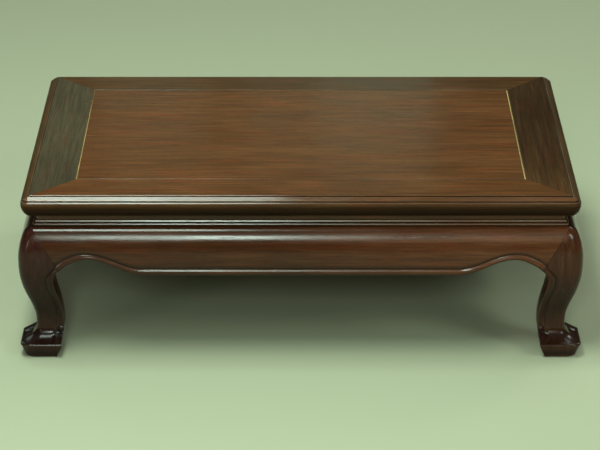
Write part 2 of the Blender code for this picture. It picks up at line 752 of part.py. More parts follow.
def make_leg():
    body = loft(foot_rings() + calf_rings() + shoulder_rings())
    leg = combine(body, [seam_cutter(False), seam_cutter(True)], "DIFFERENCE")
    tenon_low = (LEG_TENON_START, LEG_TENON_INSET)
    tenon_high = (LEG_TENON_END, LEG_TENON_INSET + LEG_TENON_THICKNESS)
    key = key_outline(0)
    additions = []
    for order in (1, -1):
        low, high = tenon_low[::order], tenon_high[::order]
        additions.append(box((*low, SHOULDER_Z), (*high, RAIL_BOTTOM + LEG_TENON_HEIGHT)))
        outline = [point[::order] for point in key]
        additions.append(prism(outline, SEAM_FOOT_Z, SHOULDER_Z - KEY_TOP_DROP))
    return combine(leg, additions, "UNION")


def make_corner_block():
    """Block in the angle of two aprons, notched round the post of the leg."""
    wall, post = APRON_BACK_INSET + FIT, POST_INNER_INSET + FIT
    outline = [(post, wall), (BLOCK_REACH, wall), (wall, BLOCK_REACH), (wall, post), (post, post)]
    top = SHOULDER_Z - BLOCK_DROP
    return prism(outline, top - BLOCK_HEIGHT, top)


def build():
    clear_scene()
    place("top_panel", make_panel(), PANEL_FINISH)
    place_on_sides("top_rail", make_long_rail(), make_end_rail(), RAIL_FINISH)
    batten = make_batten()
    place("panel_batten_left", batten, RAW_FINISH, (-BATTEN_SPACING / 2, 0, 0))
    place("panel_batten_right", batten, RAW_FINISH, (BATTEN_SPACING / 2, 0, 0))
    place_on_sides("waist", make_waist(HALF_LENGTH), make_waist(HALF_DEPTH), WAIST_FINISH)
    beads = make_shoulder_bead(HALF_LENGTH), make_shoulder_bead(HALF_DEPTH)
    place_on_sides("shoulder_bead", *beads, WAIST_FINISH)
    place_on_sides("apron", make_apron(HALF_LENGTH), make_apron(HALF_DEPTH), APRON_FINISH)
    place_on_corners("leg", make_leg(), LEG_FINISH)
    place_on_corners("corner_block", make_corner_block(), RAW_FINISH)


build()
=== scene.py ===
"""Looks of a low display table in dark lacquered hardwood.

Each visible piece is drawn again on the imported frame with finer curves, softened arrises and carved
details, and gets a procedural wood under gloss lacquer. The hidden battens and glue blocks stay as they
are and get bare wood. The length runs along X, the front faces -Y, and Z is up, in metres.

An inset is measured inwards from the widest outline of the top, so the bulges have negative insets.
"""

import json
import math

import bmesh
import bpy
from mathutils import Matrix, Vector

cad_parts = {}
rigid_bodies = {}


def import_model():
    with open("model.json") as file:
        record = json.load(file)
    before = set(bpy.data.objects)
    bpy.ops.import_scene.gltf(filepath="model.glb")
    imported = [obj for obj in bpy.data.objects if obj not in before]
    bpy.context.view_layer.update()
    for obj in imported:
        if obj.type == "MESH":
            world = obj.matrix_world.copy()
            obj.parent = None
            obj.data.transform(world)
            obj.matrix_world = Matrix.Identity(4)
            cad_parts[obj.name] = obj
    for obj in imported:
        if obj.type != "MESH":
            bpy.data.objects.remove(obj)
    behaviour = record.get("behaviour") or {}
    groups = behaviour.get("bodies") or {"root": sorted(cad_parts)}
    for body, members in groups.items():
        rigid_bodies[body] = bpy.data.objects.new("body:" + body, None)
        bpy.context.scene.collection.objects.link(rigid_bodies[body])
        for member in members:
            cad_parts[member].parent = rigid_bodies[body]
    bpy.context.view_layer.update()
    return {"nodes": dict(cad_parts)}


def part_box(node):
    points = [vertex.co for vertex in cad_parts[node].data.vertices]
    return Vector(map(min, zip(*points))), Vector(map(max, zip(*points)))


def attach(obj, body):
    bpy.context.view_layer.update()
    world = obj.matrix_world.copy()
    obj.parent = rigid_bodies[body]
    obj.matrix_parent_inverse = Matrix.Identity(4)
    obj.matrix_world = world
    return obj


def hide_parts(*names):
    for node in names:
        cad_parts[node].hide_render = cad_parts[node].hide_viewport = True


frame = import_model()

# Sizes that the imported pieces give
FRONT_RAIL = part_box("top_rail_front")
FRONT_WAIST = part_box("waist_front")
FRONT_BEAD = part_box("shoulder_bead_front")
FRONT_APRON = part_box("apron_front")
HALF_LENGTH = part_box("top_rail_right")[1].x
HALF_DEPTH = -FRONT_RAIL[0].y
HEIGHT = FRONT_RAIL[1].z
RAIL_BOTTOM = FRONT_RAIL[0].z
RAIL_WIDTH = HALF_DEPTH + FRONT_RAIL[1].y
WAIST_INSET = HALF_DEPTH + FRONT_WAIST[0].y
WAIST_BOTTOM = FRONT_WAIST[0].z
RIM_BACK_INSET = HALF_DEPTH + FRONT_WAIST[1].y
LOWER_BEAD_INSET = HALF_DEPTH + FRONT_BEAD[0].y
BEAD_BOTTOM = FRONT_BEAD[0].z
BEAD_TOP = FRONT_BEAD[1].z
SHOULDER_Z = FRONT_APRON[1].z
APRON_Z = FRONT_APRON[0].z
APRON_BACK_INSET = HALF_DEPTH + FRONT_APRON[1].y
FOOT_OUT = -HALF_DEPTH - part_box("leg_front_left")[0].y
PANEL_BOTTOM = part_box("top_panel")[0].z
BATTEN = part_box("panel_batten_right")

# Clearance between two pieces that meet
FIT = 0.0003

# Edge moulding of the frame: a lip, a sloping band, a small step and a round nose
TOP_CORNER_RADIUS = 0.010
LIP_INSET = 0.0118
LIP_DROP = 0.0013
LIP_BEVEL_RUN = 0.0008
LIP_BEVEL_FALL = 0.0005
BAND_TOP_INSET = 0.0098
BAND_FOOT_INSET = 0.0038
BAND_FALL = 0.0035
STEP_DROP = 0.0015
NOSE_TOP_INSET = 0.0025
NOSE_BEVEL_RUN = 0.0016
NOSE_BEVEL_FALL = 0.0009
NOSE_RISE = 0.0046
NOSE_RUN = 0.0185
LIP_GROOVE_DEPTH = 0.0010
LIP_GROOVE_FLOOR = 0.0010
STEP_GROOVE_DEPTH = 0.0006
STEP_GROOVE_FLOOR = 0.0007
ARRIS = 0.0005
QUIRK = 0.0002

# Floating panel, its groove in the rails and its battens
PANEL_REVEAL = 0.0004
TONGUE_THICKNESS = 0.005
TONGUE_RISE = 0.002
TONGUE_REACH = 0.007
PANEL_ROOM = 0.0015
END_REBATE_WIDTH = 0.0013
SIDE_REBATE_WIDTH = 0.0010
REBATE_DEPTH = 0.0012
DOVETAIL_NECK = 0.016
DOVETAIL_HEAD = 0.020
DOVETAIL_HEIGHT = 0.004
BATTEN_TENON_WIDTH = 0.016
BATTEN_TENON_HEIGHT = 0.008

# Waist tongue and stepped bead
WAIST_CORNER_RADIUS = 0.002
WAIST_SHOULDER = 0.0017
WAIST_TONGUE_THICKNESS = 0.003
WAIST_TONGUE_HEIGHT = 0.0037
LOWER_BEAD_HEIGHT = 0.0033
UPPER_BEAD_INSET = 0.0172
BEAD_CORNER_RADIUS = 0.004
UPPER_BEAD_FLAT = math.radians(-12), math.radians(60)
LOWER_BEAD_FLAT = math.radians(-2), math.radians(50)

# Bulging face that the aprons share with the legs
SHOULDER_INSET = 0.011
BELLY_OUT = 0.006
BELLY_DROP = 0.0442
SHOULDER_POWER = 1.8
ANKLE_INSET = 0.0137
ANKLE_HEIGHT = 0.045
OUTER_SKEW = 1.30

# Lower edge of the aprons: flat in the middle, an ogee up to a peak, an arch down to the leg
OGEE_START_INSET = 0.160
OGEE_HANDLE = 0.030
PEAK_INSET = 0.084
PEAK_RISE = 0.022
PEAK_HANDLE = 0.018
SPRING_DROP = 0.008
SPRING_HANDLE = 0.011

# Bead along the lower edge of the aprons and down the legs, with a hollow beside it
EDGE_BEAD_WIDTH = 0.0085
EDGE_BEAD_RISE = 0.0010
EDGE_BEAD_FLAT = math.radians(114), math.radians(150)
EDGE_HOLLOW_WIDTH = 0.0060
EDGE_HOLLOW_DEPTH = 0.0013
ANKLE_BEAD_SHARE = 0.5

# Carved ball that ends the bead above the foot, and the ledge under it
BALL_HEIGHT = 0.0347
BALL_RADIUS = 0.0036
BALL_RISE = 0.0026
LEDGE_OUT = 0.0009

# Legs
SEAM_HEAD_INSET = 0.014
SEAM_FOOT_INSET = 0.049
LEG_SPRING_INSET = 0.0395
LEG_ANKLE_INNER_INSET = 0.0508
INNER_SKEW = 0.80
LEG_CORNER_RADIUS = 0.008
SHOULDER_CORNER_RADIUS = 0.016
ANKLE_CHAMFER = 0.016
POST_CHAMFER = 0.008
POST_INNER_INSET = 0.052
POST_SETBACK = 0.0005
POST_CORNER_RADIUS = 0.002

# Feet: a taper up to an arris and a cove up to the ankle, with a plain slope under the bead
FOOT_ARRIS_HEIGHT = 0.020
FOOT_ARRIS_RADIUS = 0.0022
FOOT_ARRIS_PROUD = 0.0007
FOOT_CORNER_RADIUS = 0.013
FOOT_TOP_HEIGHT = 0.040
FOOT_SLOPE_TOP = 0.0292
FOOT_COVE_RUN = 0.011
FOOT_COVE_RISE = 0.0012
FOOT_COVE_DROP = 0.014
FOOT_ARRIS_INNER_INSET = 0.0478
FOOT_TAPER_OUTER = 0.0054
FOOT_TAPER_INNER = 0.0061
FOOT_ROUND_HEIGHT = 0.004
FOOT_ROUND_RUN = 0.0022

# Facets
FILLET_STEPS = 4
CORNER_STEPS = 10
NOSE_STEPS = 18
BEAD_STEPS = 8
BULGE_STEPS = 28
CALF_STEPS = 48
ARCH_STEPS = 22
OGEE_STEPS = 24
FLAT_STEPS = 12
FOOT_STEPS = 28
FOOT_ARRIS_STEPS = 3
EDGE_BEAD_STEPS = 12
EDGE_HOLLOW_STEPS = 6
SHARP_ANGLE = math.radians(34)
WELD_DIGITS = 7
HALVINGS = 30
CUT_MARGIN = 0.020

# Curvatures in 1/m where wear, lightened also as painted highlight, starts and is full, and the least width
# that one is taken over
WEAR_AND_HIGHLIGHT_START = 350
WEAR_AND_HIGHLIGHT_FULL = 1400
LEAST_WIDTH = FIT / 10

# How painted shade spreads from a crease along short edges, and how much of it lies on faces that look down
PAINTED_SHADE_STEP = 0.0012
PAINTED_SHADE_RINGS = 3
PAINTED_SHADE_FALL = 0.72
PROUD_ANGLE = math.radians(3)
UNDERSIDE_TILT = 0.5
UNDERSIDE_PAINTED_SHADE = 0.6

# Levels and positions that follow from the sizes
NOSE_Z = HEIGHT - LIP_DROP - BAND_FALL - STEP_DROP - NOSE_RISE
BELLY_Z = SHOULDER_Z - BELLY_DROP
PEAK_Z = APRON_Z + PEAK_RISE
SPRING_Z = APRON_Z - SPRING_DROP
TONGUE_BOTTOM = PANEL_BOTTOM + TONGUE_RISE
TONGUE_TOP = TONGUE_BOTTOM + TONGUE_THICKNESS
GROOVE_INSET = RAIL_WIDTH - TONGUE_REACH - PANEL_ROOM
BATTEN_TOP = PANEL_BOTTOM - FIT
BATTEN_MIDDLE = (BATTEN[0].x + BATTEN[1].x) / 2
WAIST_TONGUE_INSET = WAIST_INSET + WAIST_SHOULDER
WAIST_TONGUE_BACK = WAIST_TONGUE_INSET + WAIST_TONGUE_THICKNESS
POST_INSET = RIM_BACK_INSET + FIT + POST_SETBACK
POST_BACK_INSET = POST_INNER_INSET - POST_SETBACK

# Side name, turn about Z and whether the piece runs along the length
SIDES = (("front", 0, True), ("right", 1, False), ("back", 2, True), ("left", 3, False))

# Corner name, sign of X, sign of Y and turn about Z
CORNERS = (
    ("front_left", -1, -1, 0),
    ("front_right", 1, -1, 1),
    ("back_right", 1, 1, 2),
    ("back_left", -1, 1, 3),
)


def loft(rings):
    """Closed body through rings of equal counts; points that coincide share a vertex."""
    mesh_edit = bmesh.new()
    found = {}

    def vertex(point):
        key = tuple(round(value, WELD_DIGITS) for value in point)
        if key not in found:
            found[key] = mesh_edit.verts.new(point)
        return found[key]

    def face(points):
        corners = list(dict.fromkeys(vertex(point) for point in points))
        if len(corners) > 2:
            mesh_edit.faces.new(corners)

    count = len(rings[0])
    for lower, upper in zip(rings, rings[1:]):
        for first in range(count):
            second = (first + 1) % count
            face((lower[first], lower[second], upper[second], upper[first]))
    face(rings[0])
    face(rings[-1])
    bmesh.ops.recalc_face_normals(mesh_edit, faces=mesh_edit.faces)
    mesh = bpy.data.meshes.new("shape")
    mesh_edit.to_mesh(mesh)
    mesh_edit.free()
    return mesh


def box(low, high):
    outline = [(low[0], low[1]), (high[0], low[1]), (high[0], high[1]), (low[0], high[1])]
    return loft([[(x, y, z) for x, y in outline] for z in (low[2], high[2])])


def linked(mesh, name="shape"):
    item = bpy.data.objects.new(name, mesh)
    bpy.context.scene.collection.objects.link(item)
    return item


def cut(mesh, tools):
    """The mesh after a Boolean difference with each tool mesh in turn."""
    for tool in tools:
        target = linked(mesh)
        cutter = linked(tool)
        modifier = target.modifiers.new("cut", "BOOLEAN")
        modifier.operation = "DIFFERENCE"
        modifier.solver = "EXACT"
        modifier.object = cutter
        depsgraph = bpy.context.evaluated_depsgraph_get()
        mesh = bpy.data.meshes.new_from_object(target.evaluated_get(depsgraph))
        bpy.data.objects.remove(target)
        bpy.data.objects.remove(cutter)
    return mesh


def share_between(value, start, full):
    """Where a value lies between two others, from 0 to 1."""
    return min(max((value - start) / (full - start), 0), 1)


def turned_shares(mesh_edit):
    """For each vertex, how sharply the surface turns outwards there, and how sharply inwards."""
    shares = {"wear": [0.0] * len(mesh_edit.verts), "dirt": [0.0] * len(mesh_edit.verts)}
    for edge in mesh_edit.edges:
        if len(edge.link_faces) != 2:
            continue
        angle = edge.calc_face_angle_signed()
        if angle > SHARP_ANGLE:
            continue
        length = max(edge.calc_length(), LEAST_WIDTH)
        widths = [face.calc_area() / length for face in edge.link_faces]
        width = sum(widths) / 2 if angle > 0 else min(widths)
        share = share_between(abs(angle) / max(width, LEAST_WIDTH), WEAR_AND_HIGHLIGHT_START, WEAR_AND_HIGHLIGHT_FULL)
        marked = shares["wear" if angle > 0 else "dirt"]
        for vertex in edge.verts:
            marked[vertex.index] = max(marked[vertex.index], share)
    return shares


def spread_painted_shade(mesh_edit, dirt):
    """Let painted shade creep from creases along short edges, except onto proud arrises, and lie on
    undersides.
    """
    joined = [edge for edge in mesh_edit.edges if len(edge.link_faces) == 2]
    proud = [edge for edge in joined if edge.calc_face_angle_signed() > PROUD_ANGLE]
    clean = {vertex.index for edge in proud for vertex in edge.verts}
    steps = []
    for edge in joined:
        if edge.calc_length() < PAINTED_SHADE_STEP:
            first, second = (vertex.index for vertex in edge.verts)
            steps += [(first, second), (second, first)]
    for _ in range(PAINTED_SHADE_RINGS):
        before = list(dirt)
        for reached, source in steps:
            if reached not in clean:
                dirt[reached] = max(dirt[reached], PAINTED_SHADE_FALL * before[source])
    for vertex in mesh_edit.verts:
        share = share_between(-vertex.normal.z, 0, UNDERSIDE_TILT)
        dirt[vertex.index] = max(dirt[vertex.index], UNDERSIDE_PAINTED_SHADE * share)


def mark_wear_highlight_and_shade(mesh):
    """Point attributes from 0 to 1: wear, lightened also as painted highlight, on arrises where hands and
    cloths rub, and painted shade in creases and on faces that look down.
    """
    mesh_edit = bmesh.new()
    mesh_edit.from_mesh(mesh)
    shares = turned_shares(mesh_edit)
    spread_painted_shade(mesh_edit, shares["dirt"])
    mesh_edit.free()
    for name, values in shares.items():
        mesh.attributes.new(name, "FLOAT", "POINT").data.foreach_set("value", values)


def place(node, mesh, materials, location=(0, 0, 0), turns=0, flat_faces=False, zone=None):
    """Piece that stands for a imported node, with its own copy of the mesh.

    Where zone is given, it tells which of the materials a face has.
    """
    own = mesh.copy()
    own.shade_smooth()
    own.set_sharp_from_angle(angle=SHARP_ANGLE)
    mark_wear_highlight_and_shade(own)
    own.materials.clear()
    for material in materials:
        own.materials.append(material)
    if zone:
        for polygon in own.polygons:
            polygon.material_index = int(zone(polygon))
    piece = linked(own, node + "_lacquered")
    piece.location = location
    piece.rotation_euler.z = turns * math.pi / 2
    if flat_faces:
        modifier = piece.modifiers.new("flat_faces", "WEIGHTED_NORMAL")
        modifier.keep_sharp = True
    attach(piece, "root")
    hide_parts(node)


def place_on_sides(prefix, long_mesh, short_mesh, slot, finish, flat_faces=False, zone=None):
    """One piece on each side: the meshes are drawn along X, with their insets towards +Y."""
    locations = ((0, -HALF_DEPTH, 0), (HALF_LENGTH, 0, 0), (0, HALF_DEPTH, 0), (-HALF_LENGTH, 0, 0))
    for (side, turns, is_long), location in zip(SIDES, locations):
        node = f"{prefix}_{side}"
        mesh = long_mesh if is_long else short_mesh
        place(node, mesh, finish(node), location, turns, flat_faces, zone)


def place_on_corners(prefix, mesh, finish):
    """One piece on each corner: the mesh is drawn from the corner, symmetric about its diagonal."""
    for corner, x_sign, y_sign, turns in CORNERS:
        node = f"{prefix}_{corner}"
        location = (x_sign * HALF_LENGTH, y_sign * HALF_DEPTH, 0)
        place(node, mesh, finish(node), location, turns)


def filleted(corners):
    """Closed outline of (inset, z, radius) corners, each rounded by an arc of its radius."""
    points = []
    for index, (inset, z, radius) in enumerate(corners):
        corner = Vector((inset, z))
        if radius == 0:
            points.append((inset, z))
            continue
        before = (Vector(corners[index - 1][:2]) - corner).normalized()
        after = (Vector(corners[(index + 1) % len(corners)][:2]) - corner).normalized()
        half_angle = before.angle(after) / 2
        reach = radius / math.tan(half_angle)
        centre = corner + (before + after).normalized() * (radius / math.sin(half_angle))
        start, end = corner + before * reach - centre, corner + after * reach - centre
        turn = start.angle(end)
        for step in range(FILLET_STEPS + 1):
            part = turn * step / FILLET_STEPS
            arm = (start * math.sin(turn - part) + end * math.sin(part)) / math.sin(turn)
            points.append(tuple(centre + arm))
    return points


def mitred_strip(profile, half_run, corner_radius):
    """Profile of (inset, z) points between two mitres, with its outer corners rounded in plan."""
    centre = min(inset for inset, z in profile) + corner_radius
    mitre_setback = FIT / math.sqrt(2)

    def station(angle, end):
        points = []
        for inset, z in profile:
            radius = max(centre - inset, 0)
            base = max(centre, inset)
            along = half_run - base + radius * math.sin(angle) - mitre_setback
            points.append((end * along, base - radius * math.cos(angle), z))
        return points

    angles = [math.pi / 4 * step / CORNER_STEPS for step in range(CORNER_STEPS + 1)]
    rings = [station(angle, -1) for angle in reversed(angles)]
    rings += [station(angle, 1) for angle in angles]
    return loft(rings)


def quarter_round(start, end, steps, leaves_level):
    """Quarter ellipse between two (inset, z) points, without its start point."""
    points = []
    for step in range(1, steps + 1):
        angle = math.pi / 2 * step / steps
        rise, run = math.sin(angle), 1 - math.cos(angle)
        across, down = (rise, run) if leaves_level else (run, rise)
        points.append((start[0] + (end[0] - start[0]) * across, start[1] + (end[1] - start[1]) * down))
    return points


def square(points):
    """Corners of an outline that aren't rounded."""
    return [(inset, z, 0) for inset, z in points]


def rail_profile():
    """Section of a frame rail, from its inner top edge outwards and round."""
    band_top = HEIGHT - LIP_DROP
    nose_top = band_top - BAND_FALL - STEP_DROP
    lip_groove = band_top - LIP_GROOVE_DEPTH
    step_groove = nose_top - STEP_GROOVE_DEPTH
    corners = [
        (RAIL_WIDTH, HEIGHT, ARRIS),
        (LIP_INSET + LIP_BEVEL_RUN, HEIGHT, QUIRK),
        (LIP_INSET, HEIGHT - LIP_BEVEL_FALL, QUIRK),
        (LIP_INSET, lip_groove, QUIRK),
        (LIP_INSET - LIP_GROOVE_FLOOR, lip_groove, QUIRK),
        (BAND_TOP_INSET, band_top, QUIRK),
        (BAND_FOOT_INSET, band_top - BAND_FALL, QUIRK),
        (BAND_FOOT_INSET, step_groove, QUIRK),
        (BAND_FOOT_INSET - STEP_GROOVE_FLOOR, step_groove, QUIRK),
        (NOSE_TOP_INSET, nose_top, QUIRK),
    ]
    bevel_foot = (NOSE_TOP_INSET - NOSE_BEVEL_RUN, nose_top - NOSE_BEVEL_FALL)
    shoulder = (0, bevel_foot[1] - bevel_foot[0] * NOSE_BEVEL_FALL / NOSE_BEVEL_RUN)
    widest = (0, NOSE_Z)
    nose = (bevel_foot, shoulder, (0, (shoulder[1] + widest[1]) / 2), widest)
    corners += square(bezier(nose, step / NOSE_STEPS) for step in range(NOSE_STEPS + 1))
    corners += square(quarter_round(widest, (NOSE_RUN, RAIL_BOTTOM), NOSE_STEPS, False))
    outer, inner = WAIST_TONGUE_INSET - FIT, WAIST_TONGUE_BACK + FIT
    top = RAIL_BOTTOM + WAIST_TONGUE_HEIGHT + FIT
    corners += square([(outer, RAIL_BOTTOM), (outer, top), (inner, top), (inner, RAIL_BOTTOM)])
    corners.append((RAIL_WIDTH, RAIL_BOTTOM, ARRIS))
    floor, roof = TONGUE_BOTTOM - FIT, TONGUE_TOP + FIT
    corners += square([(RAIL_WIDTH, floor), (GROOVE_INSET, floor)])
    corners += square([(GROOVE_INSET, roof), (RAIL_WIDTH, roof)])
    return filleted(corners)


def batten_mortises():
    half_width = BATTEN_TENON_WIDTH / 2 + FIT
    half_height = BATTEN_TENON_HEIGHT / 2 + FIT
    height = (BATTEN_TOP + BATTEN[0].z) / 2
    inset = HALF_DEPTH - BATTEN[1].y - FIT
    boxes = []
    for middle in (-BATTEN_MIDDLE, BATTEN_MIDDLE):
        low = (middle - half_width, inset, height - half_height)
        high = (middle + half_width, RAIL_WIDTH + CUT_MARGIN, height + half_height)
        boxes.append(box(low, high))
    return boxes


def batten_housings():
    """Dovetailed grooves across the underside of the panel."""
    neck, head = DOVETAIL_NECK / 2 + FIT, DOVETAIL_HEAD / 2 + FIT
    top = BATTEN_TOP + DOVETAIL_HEIGHT + FIT
    below = PANEL_BOTTOM - CUT_MARGIN
    side = [(neck, below), (neck, BATTEN_TOP), (head, top)]
    outline = side + [(-x, z) for x, z in reversed(side)]
    housings = []
    for middle in (-BATTEN_MIDDLE, BATTEN_MIDDLE):
        rings = [[(middle + x, y, z) for x, z in outline] for y in (-HALF_DEPTH, HALF_DEPTH)]
        housings.append(loft(rings))
    return housings


def make_panel():
    """Floating panel with its tongue, a rebate all round and a softened top edge."""
    open_x, open_y = HALF_LENGTH - RAIL_WIDTH, HALF_DEPTH - RAIL_WIDTH
    field_x, field_y = open_x - PANEL_REVEAL, open_y - PANEL_REVEAL
    tongue_x, tongue_y = open_x + TONGUE_REACH, open_y + TONGUE_REACH
    inner_x, inner_y = field_x - END_REBATE_WIDTH, field_y - SIDE_REBATE_WIDTH
    levels = [
        (field_x, field_y, PANEL_BOTTOM),
        (field_x, field_y, TONGUE_BOTTOM),
        (tongue_x, tongue_y, TONGUE_BOTTOM),
        (tongue_x, tongue_y, TONGUE_TOP),
        (field_x, field_y, TONGUE_TOP),
        (field_x, field_y, HEIGHT - REBATE_DEPTH),
        (inner_x, inner_y, HEIGHT - REBATE_DEPTH),
    ]
    for step in range(FILLET_STEPS + 1):
        angle = math.pi / 2 * step / FILLET_STEPS
        back = ARRIS * (1 - math.cos(angle))
        levels.append((inner_x - back, inner_y - back, HEIGHT - ARRIS + ARRIS * math.sin(angle)))
    panel = loft([[(-x, -y, z), (x, -y, z), (x, y, z), (-x, y, z)] for x, y, z in levels])
    return cut(panel, batten_housings())


def in_rebate(polygon):
    return polygon.normal.z > 0 and abs(polygon.center.z - (HEIGHT - REBATE_DEPTH)) < FIT / 2


def rail_zone(polygon):
    """Which finish a face of a rail has: 0 on the top, 1 on the edge moulding, 2 on the underside."""
    if polygon.center.z < NOSE_Z:
        return 2
    return int(polygon.center.y < LIP_INSET)


def make_waist(half_run):
    top = RAIL_BOTTOM - FIT
    tongue_top = RAIL_BOTTOM + WAIST_TONGUE_HEIGHT
    corners = [
        (RIM_BACK_INSET, WAIST_BOTTOM, 0),
        (WAIST_INSET, WAIST_BOTTOM, QUIRK),
        (WAIST_INSET, top, QUIRK),
        (WAIST_TONGUE_INSET, top, 0),
        (WAIST_TONGUE_INSET, tongue_top, 0),
        (WAIST_TONGUE_BACK, tongue_top, 0),
        (WAIST_TONGUE_BACK, top, 0),
        (RIM_BACK_INSET, top, 0),
    ]
    return mitred_strip(filleted(corners), half_run, WAIST_CORNER_RADIUS)


def planed(angles, flat):
    """Angles along an arc that has a flat planed on it between two angles."""
    return sorted([*(angle for angle in angles if not flat[0] <= angle <= flat[1]), *flat])


def half_round(inset, low, high, flat):
    """Nosing with a flat, from its lower to its upper edge, both set back by its radius."""
    middle, radius = (low + high) / 2, (high - low) / 2
    angles = [math.pi / 2 * (step / BEAD_STEPS - 1) for step in range(2 * BEAD_STEPS + 1)]
    points = []
    for angle in planed(angles, flat):
        points.append((inset + radius * (1 - math.cos(angle)), middle + radius * math.sin(angle)))
    return points


def make_shoulder_bead(half_run):
    parting = BEAD_BOTTOM + LOWER_BEAD_HEIGHT
    profile = [(RIM_BACK_INSET, BEAD_BOTTOM)]
    profile += half_round(LOWER_BEAD_INSET, BEAD_BOTTOM, parting, LOWER_BEAD_FLAT)
    profile += half_round(UPPER_BEAD_INSET, parting, BEAD_TOP, UPPER_BEAD_FLAT)
    profile.append((RIM_BACK_INSET, BEAD_TOP))
    return mitred_strip(profile, half_run, BEAD_CORNER_RADIUS)


def ease(share, skew):
    return 0.5 - 0.5 * math.cos(math.pi * min(max(share, 0), 1) ** skew)


def between(start, end, share):
    return start + (end - start) * share


def face_inset(z):
    """Inset of the bulging face: a rounded shoulder, then an S down to the ankle."""
    if z >= BELLY_Z:
        share = min((z - BELLY_Z) / BELLY_DROP, 1)
        fall = 1 - (1 - share ** SHOULDER_POWER) ** (1 / SHOULDER_POWER)
        return (SHOULDER_INSET + BELLY_OUT) * fall - BELLY_OUT
    share = (BELLY_Z - z) / (BELLY_Z - ANKLE_HEIGHT)
    return (ANKLE_INSET + BELLY_OUT) * ease(share, OUTER_SKEW) - BELLY_OUT


def bezier(points, share):
    rest = 1 - share
    weights = (rest ** 3, 3 * rest ** 2 * share, 3 * rest * share ** 2, share ** 3)
    return tuple(sum(weight * point[axis] for weight, point in zip(weights, points)) for axis in (0, 1))


def arch(share):
    """Arch of the lower edge, from the leg up to the peak, as (inset, z)."""
    start, end = (LEG_SPRING_INSET, SPRING_Z), (PEAK_INSET, PEAK_Z)
    handles = (start[0], start[1] + SPRING_HANDLE), (end[0] - PEAK_HANDLE, end[1])
    return bezier((start, *handles, end), share)


def ogee(share):
    """Ogee of the lower edge, from the peak down to the flat."""
    start, end = (PEAK_INSET, PEAK_Z), (OGEE_START_INSET, APRON_Z)
    handles = (start[0] + OGEE_HANDLE, start[1]), (end[0] - OGEE_HANDLE, end[1])
    return bezier((start, *handles, end), share)


def arch_share_at(inset):
    """Place on the arch with the given inset, found by halving."""
    low, high = 0.0, 1.0
    for _ in range(HALVINGS):
        middle = (low + high) / 2
        if arch(middle)[0] < inset:
            low = middle
        else:
            high = middle
    return low


SEAM_SHARE = arch_share_at(SEAM_FOOT_INSET)
SEAM_FOOT_Z = arch(SEAM_SHARE)[1]
SEAM_RUN = SEAM_FOOT_INSET - SEAM_HEAD_INSET
SEAM_RISE = SHOULDER_Z - SEAM_FOOT_Z
SEAM_SETBACK = FIT / 2 * math.hypot(SEAM_RUN, SEAM_RISE) / SEAM_RISE


def seam_inset(z):
    """Inset of the mitre between an apron and a leg, on the face."""
    return SEAM_FOOT_INSET - (z - SEAM_FOOT_Z) * SEAM_RUN / SEAM_RISE


def hollow_share(distance):
    """How much of the hollow's depth is left at a distance from the edge: all of it under the bead."""
    return 1 - ease((distance - EDGE_BEAD_WIDTH) / EDGE_HOLLOW_WIDTH, 1)


def edge_bead():
    """Section of the half-round bead, with a flat planed on its upper flank, and of its hollow.

    Each point is a distance from the edge and how far it stands out there.
    """
    height = EDGE_BEAD_RISE + EDGE_HOLLOW_DEPTH
    angles = [math.pi * step / EDGE_BEAD_STEPS for step in range(EDGE_BEAD_STEPS + 1)]
    points = []
    for angle in planed(angles, EDGE_BEAD_FLAT):
        distance = EDGE_BEAD_WIDTH * (1 - math.cos(angle)) / 2
        points.append((distance, height * math.sin(angle) - EDGE_HOLLOW_DEPTH))
    for step in range(1, EDGE_HOLLOW_STEPS + 1):
        distance = EDGE_BEAD_WIDTH + EDGE_HOLLOW_WIDTH * step / EDGE_HOLLOW_STEPS
        points.append((distance, -EDGE_HOLLOW_DEPTH * hollow_share(distance)))
    return points


def apron_columns(half_run):
    """Foot and head of each column of the apron, as (inset, z), from the mitre to the middle."""
    feet = [arch(SEAM_SHARE + (1 - SEAM_SHARE) * step / ARCH_STEPS) for step in range(ARCH_STEPS)]
    feet += [ogee(step / OGEE_STEPS) for step in range(OGEE_STEPS + 1)]
    columns = []
    for inset, z in feet:
        share = (inset - SEAM_FOOT_INSET) / (OGEE_START_INSET - SEAM_FOOT_INSET)
        lean = SEAM_RUN * (1 - ease(share, 1))
        columns.append(((inset + SEAM_SETBACK, z), (inset - lean + SEAM_SETBACK, SHOULDER_Z)))
    for step in range(1, FLAT_STEPS):
        inset = between(OGEE_START_INSET, half_run, step / FLAT_STEPS)
        columns.append(((inset, APRON_Z), (inset, SHOULDER_Z)))
    return columns


def apron_ring(foot, head, half_run, end):
    """Section of the apron along one column, from its back edge over the bead to the shoulder."""
    length = math.dist(foot, head)
    bead = edge_bead()
    bead_share = bead[-1][0] / length
    marks = [(distance / length, rise) for distance, rise in bead]
    for step in range(1, BULGE_STEPS + 1):
        share = math.sin(math.pi / 2 * step / BULGE_STEPS)
        marks.append((bead_share + (1 - bead_share) * share, 0))
    diagonal = APRON_BACK_INSET + FIT
    ring = [(end * (half_run - max(foot[0], diagonal)), APRON_BACK_INSET, foot[1])]
    for share, rise in marks:
        inset = foot[0] + (head[0] - foot[0]) * share
        z = foot[1] + (head[1] - foot[1]) * share
        ring.append((end * (half_run - inset), face_inset(z) - rise, z))
    ring.append((end * (half_run - max(head[0], diagonal)), APRON_BACK_INSET, head[1]))
    return ring


def make_apron(half_run):
    columns = apron_columns(half_run)
    rings = [apron_ring(foot, head, half_run, -1) for foot, head in columns]
    rings += [apron_ring(foot, head, half_run, 1) for foot, head in reversed(columns)]
    return loft(rings)


def ball_rise(distance, z):
    """How far the carved ball stands out of the bead's end."""
    apart = math.hypot(distance - EDGE_BEAD_WIDTH / 2, z - BALL_HEIGHT) / BALL_RADIUS
    return BALL_RISE * math.sqrt(max(1 - apart * apart, 0))


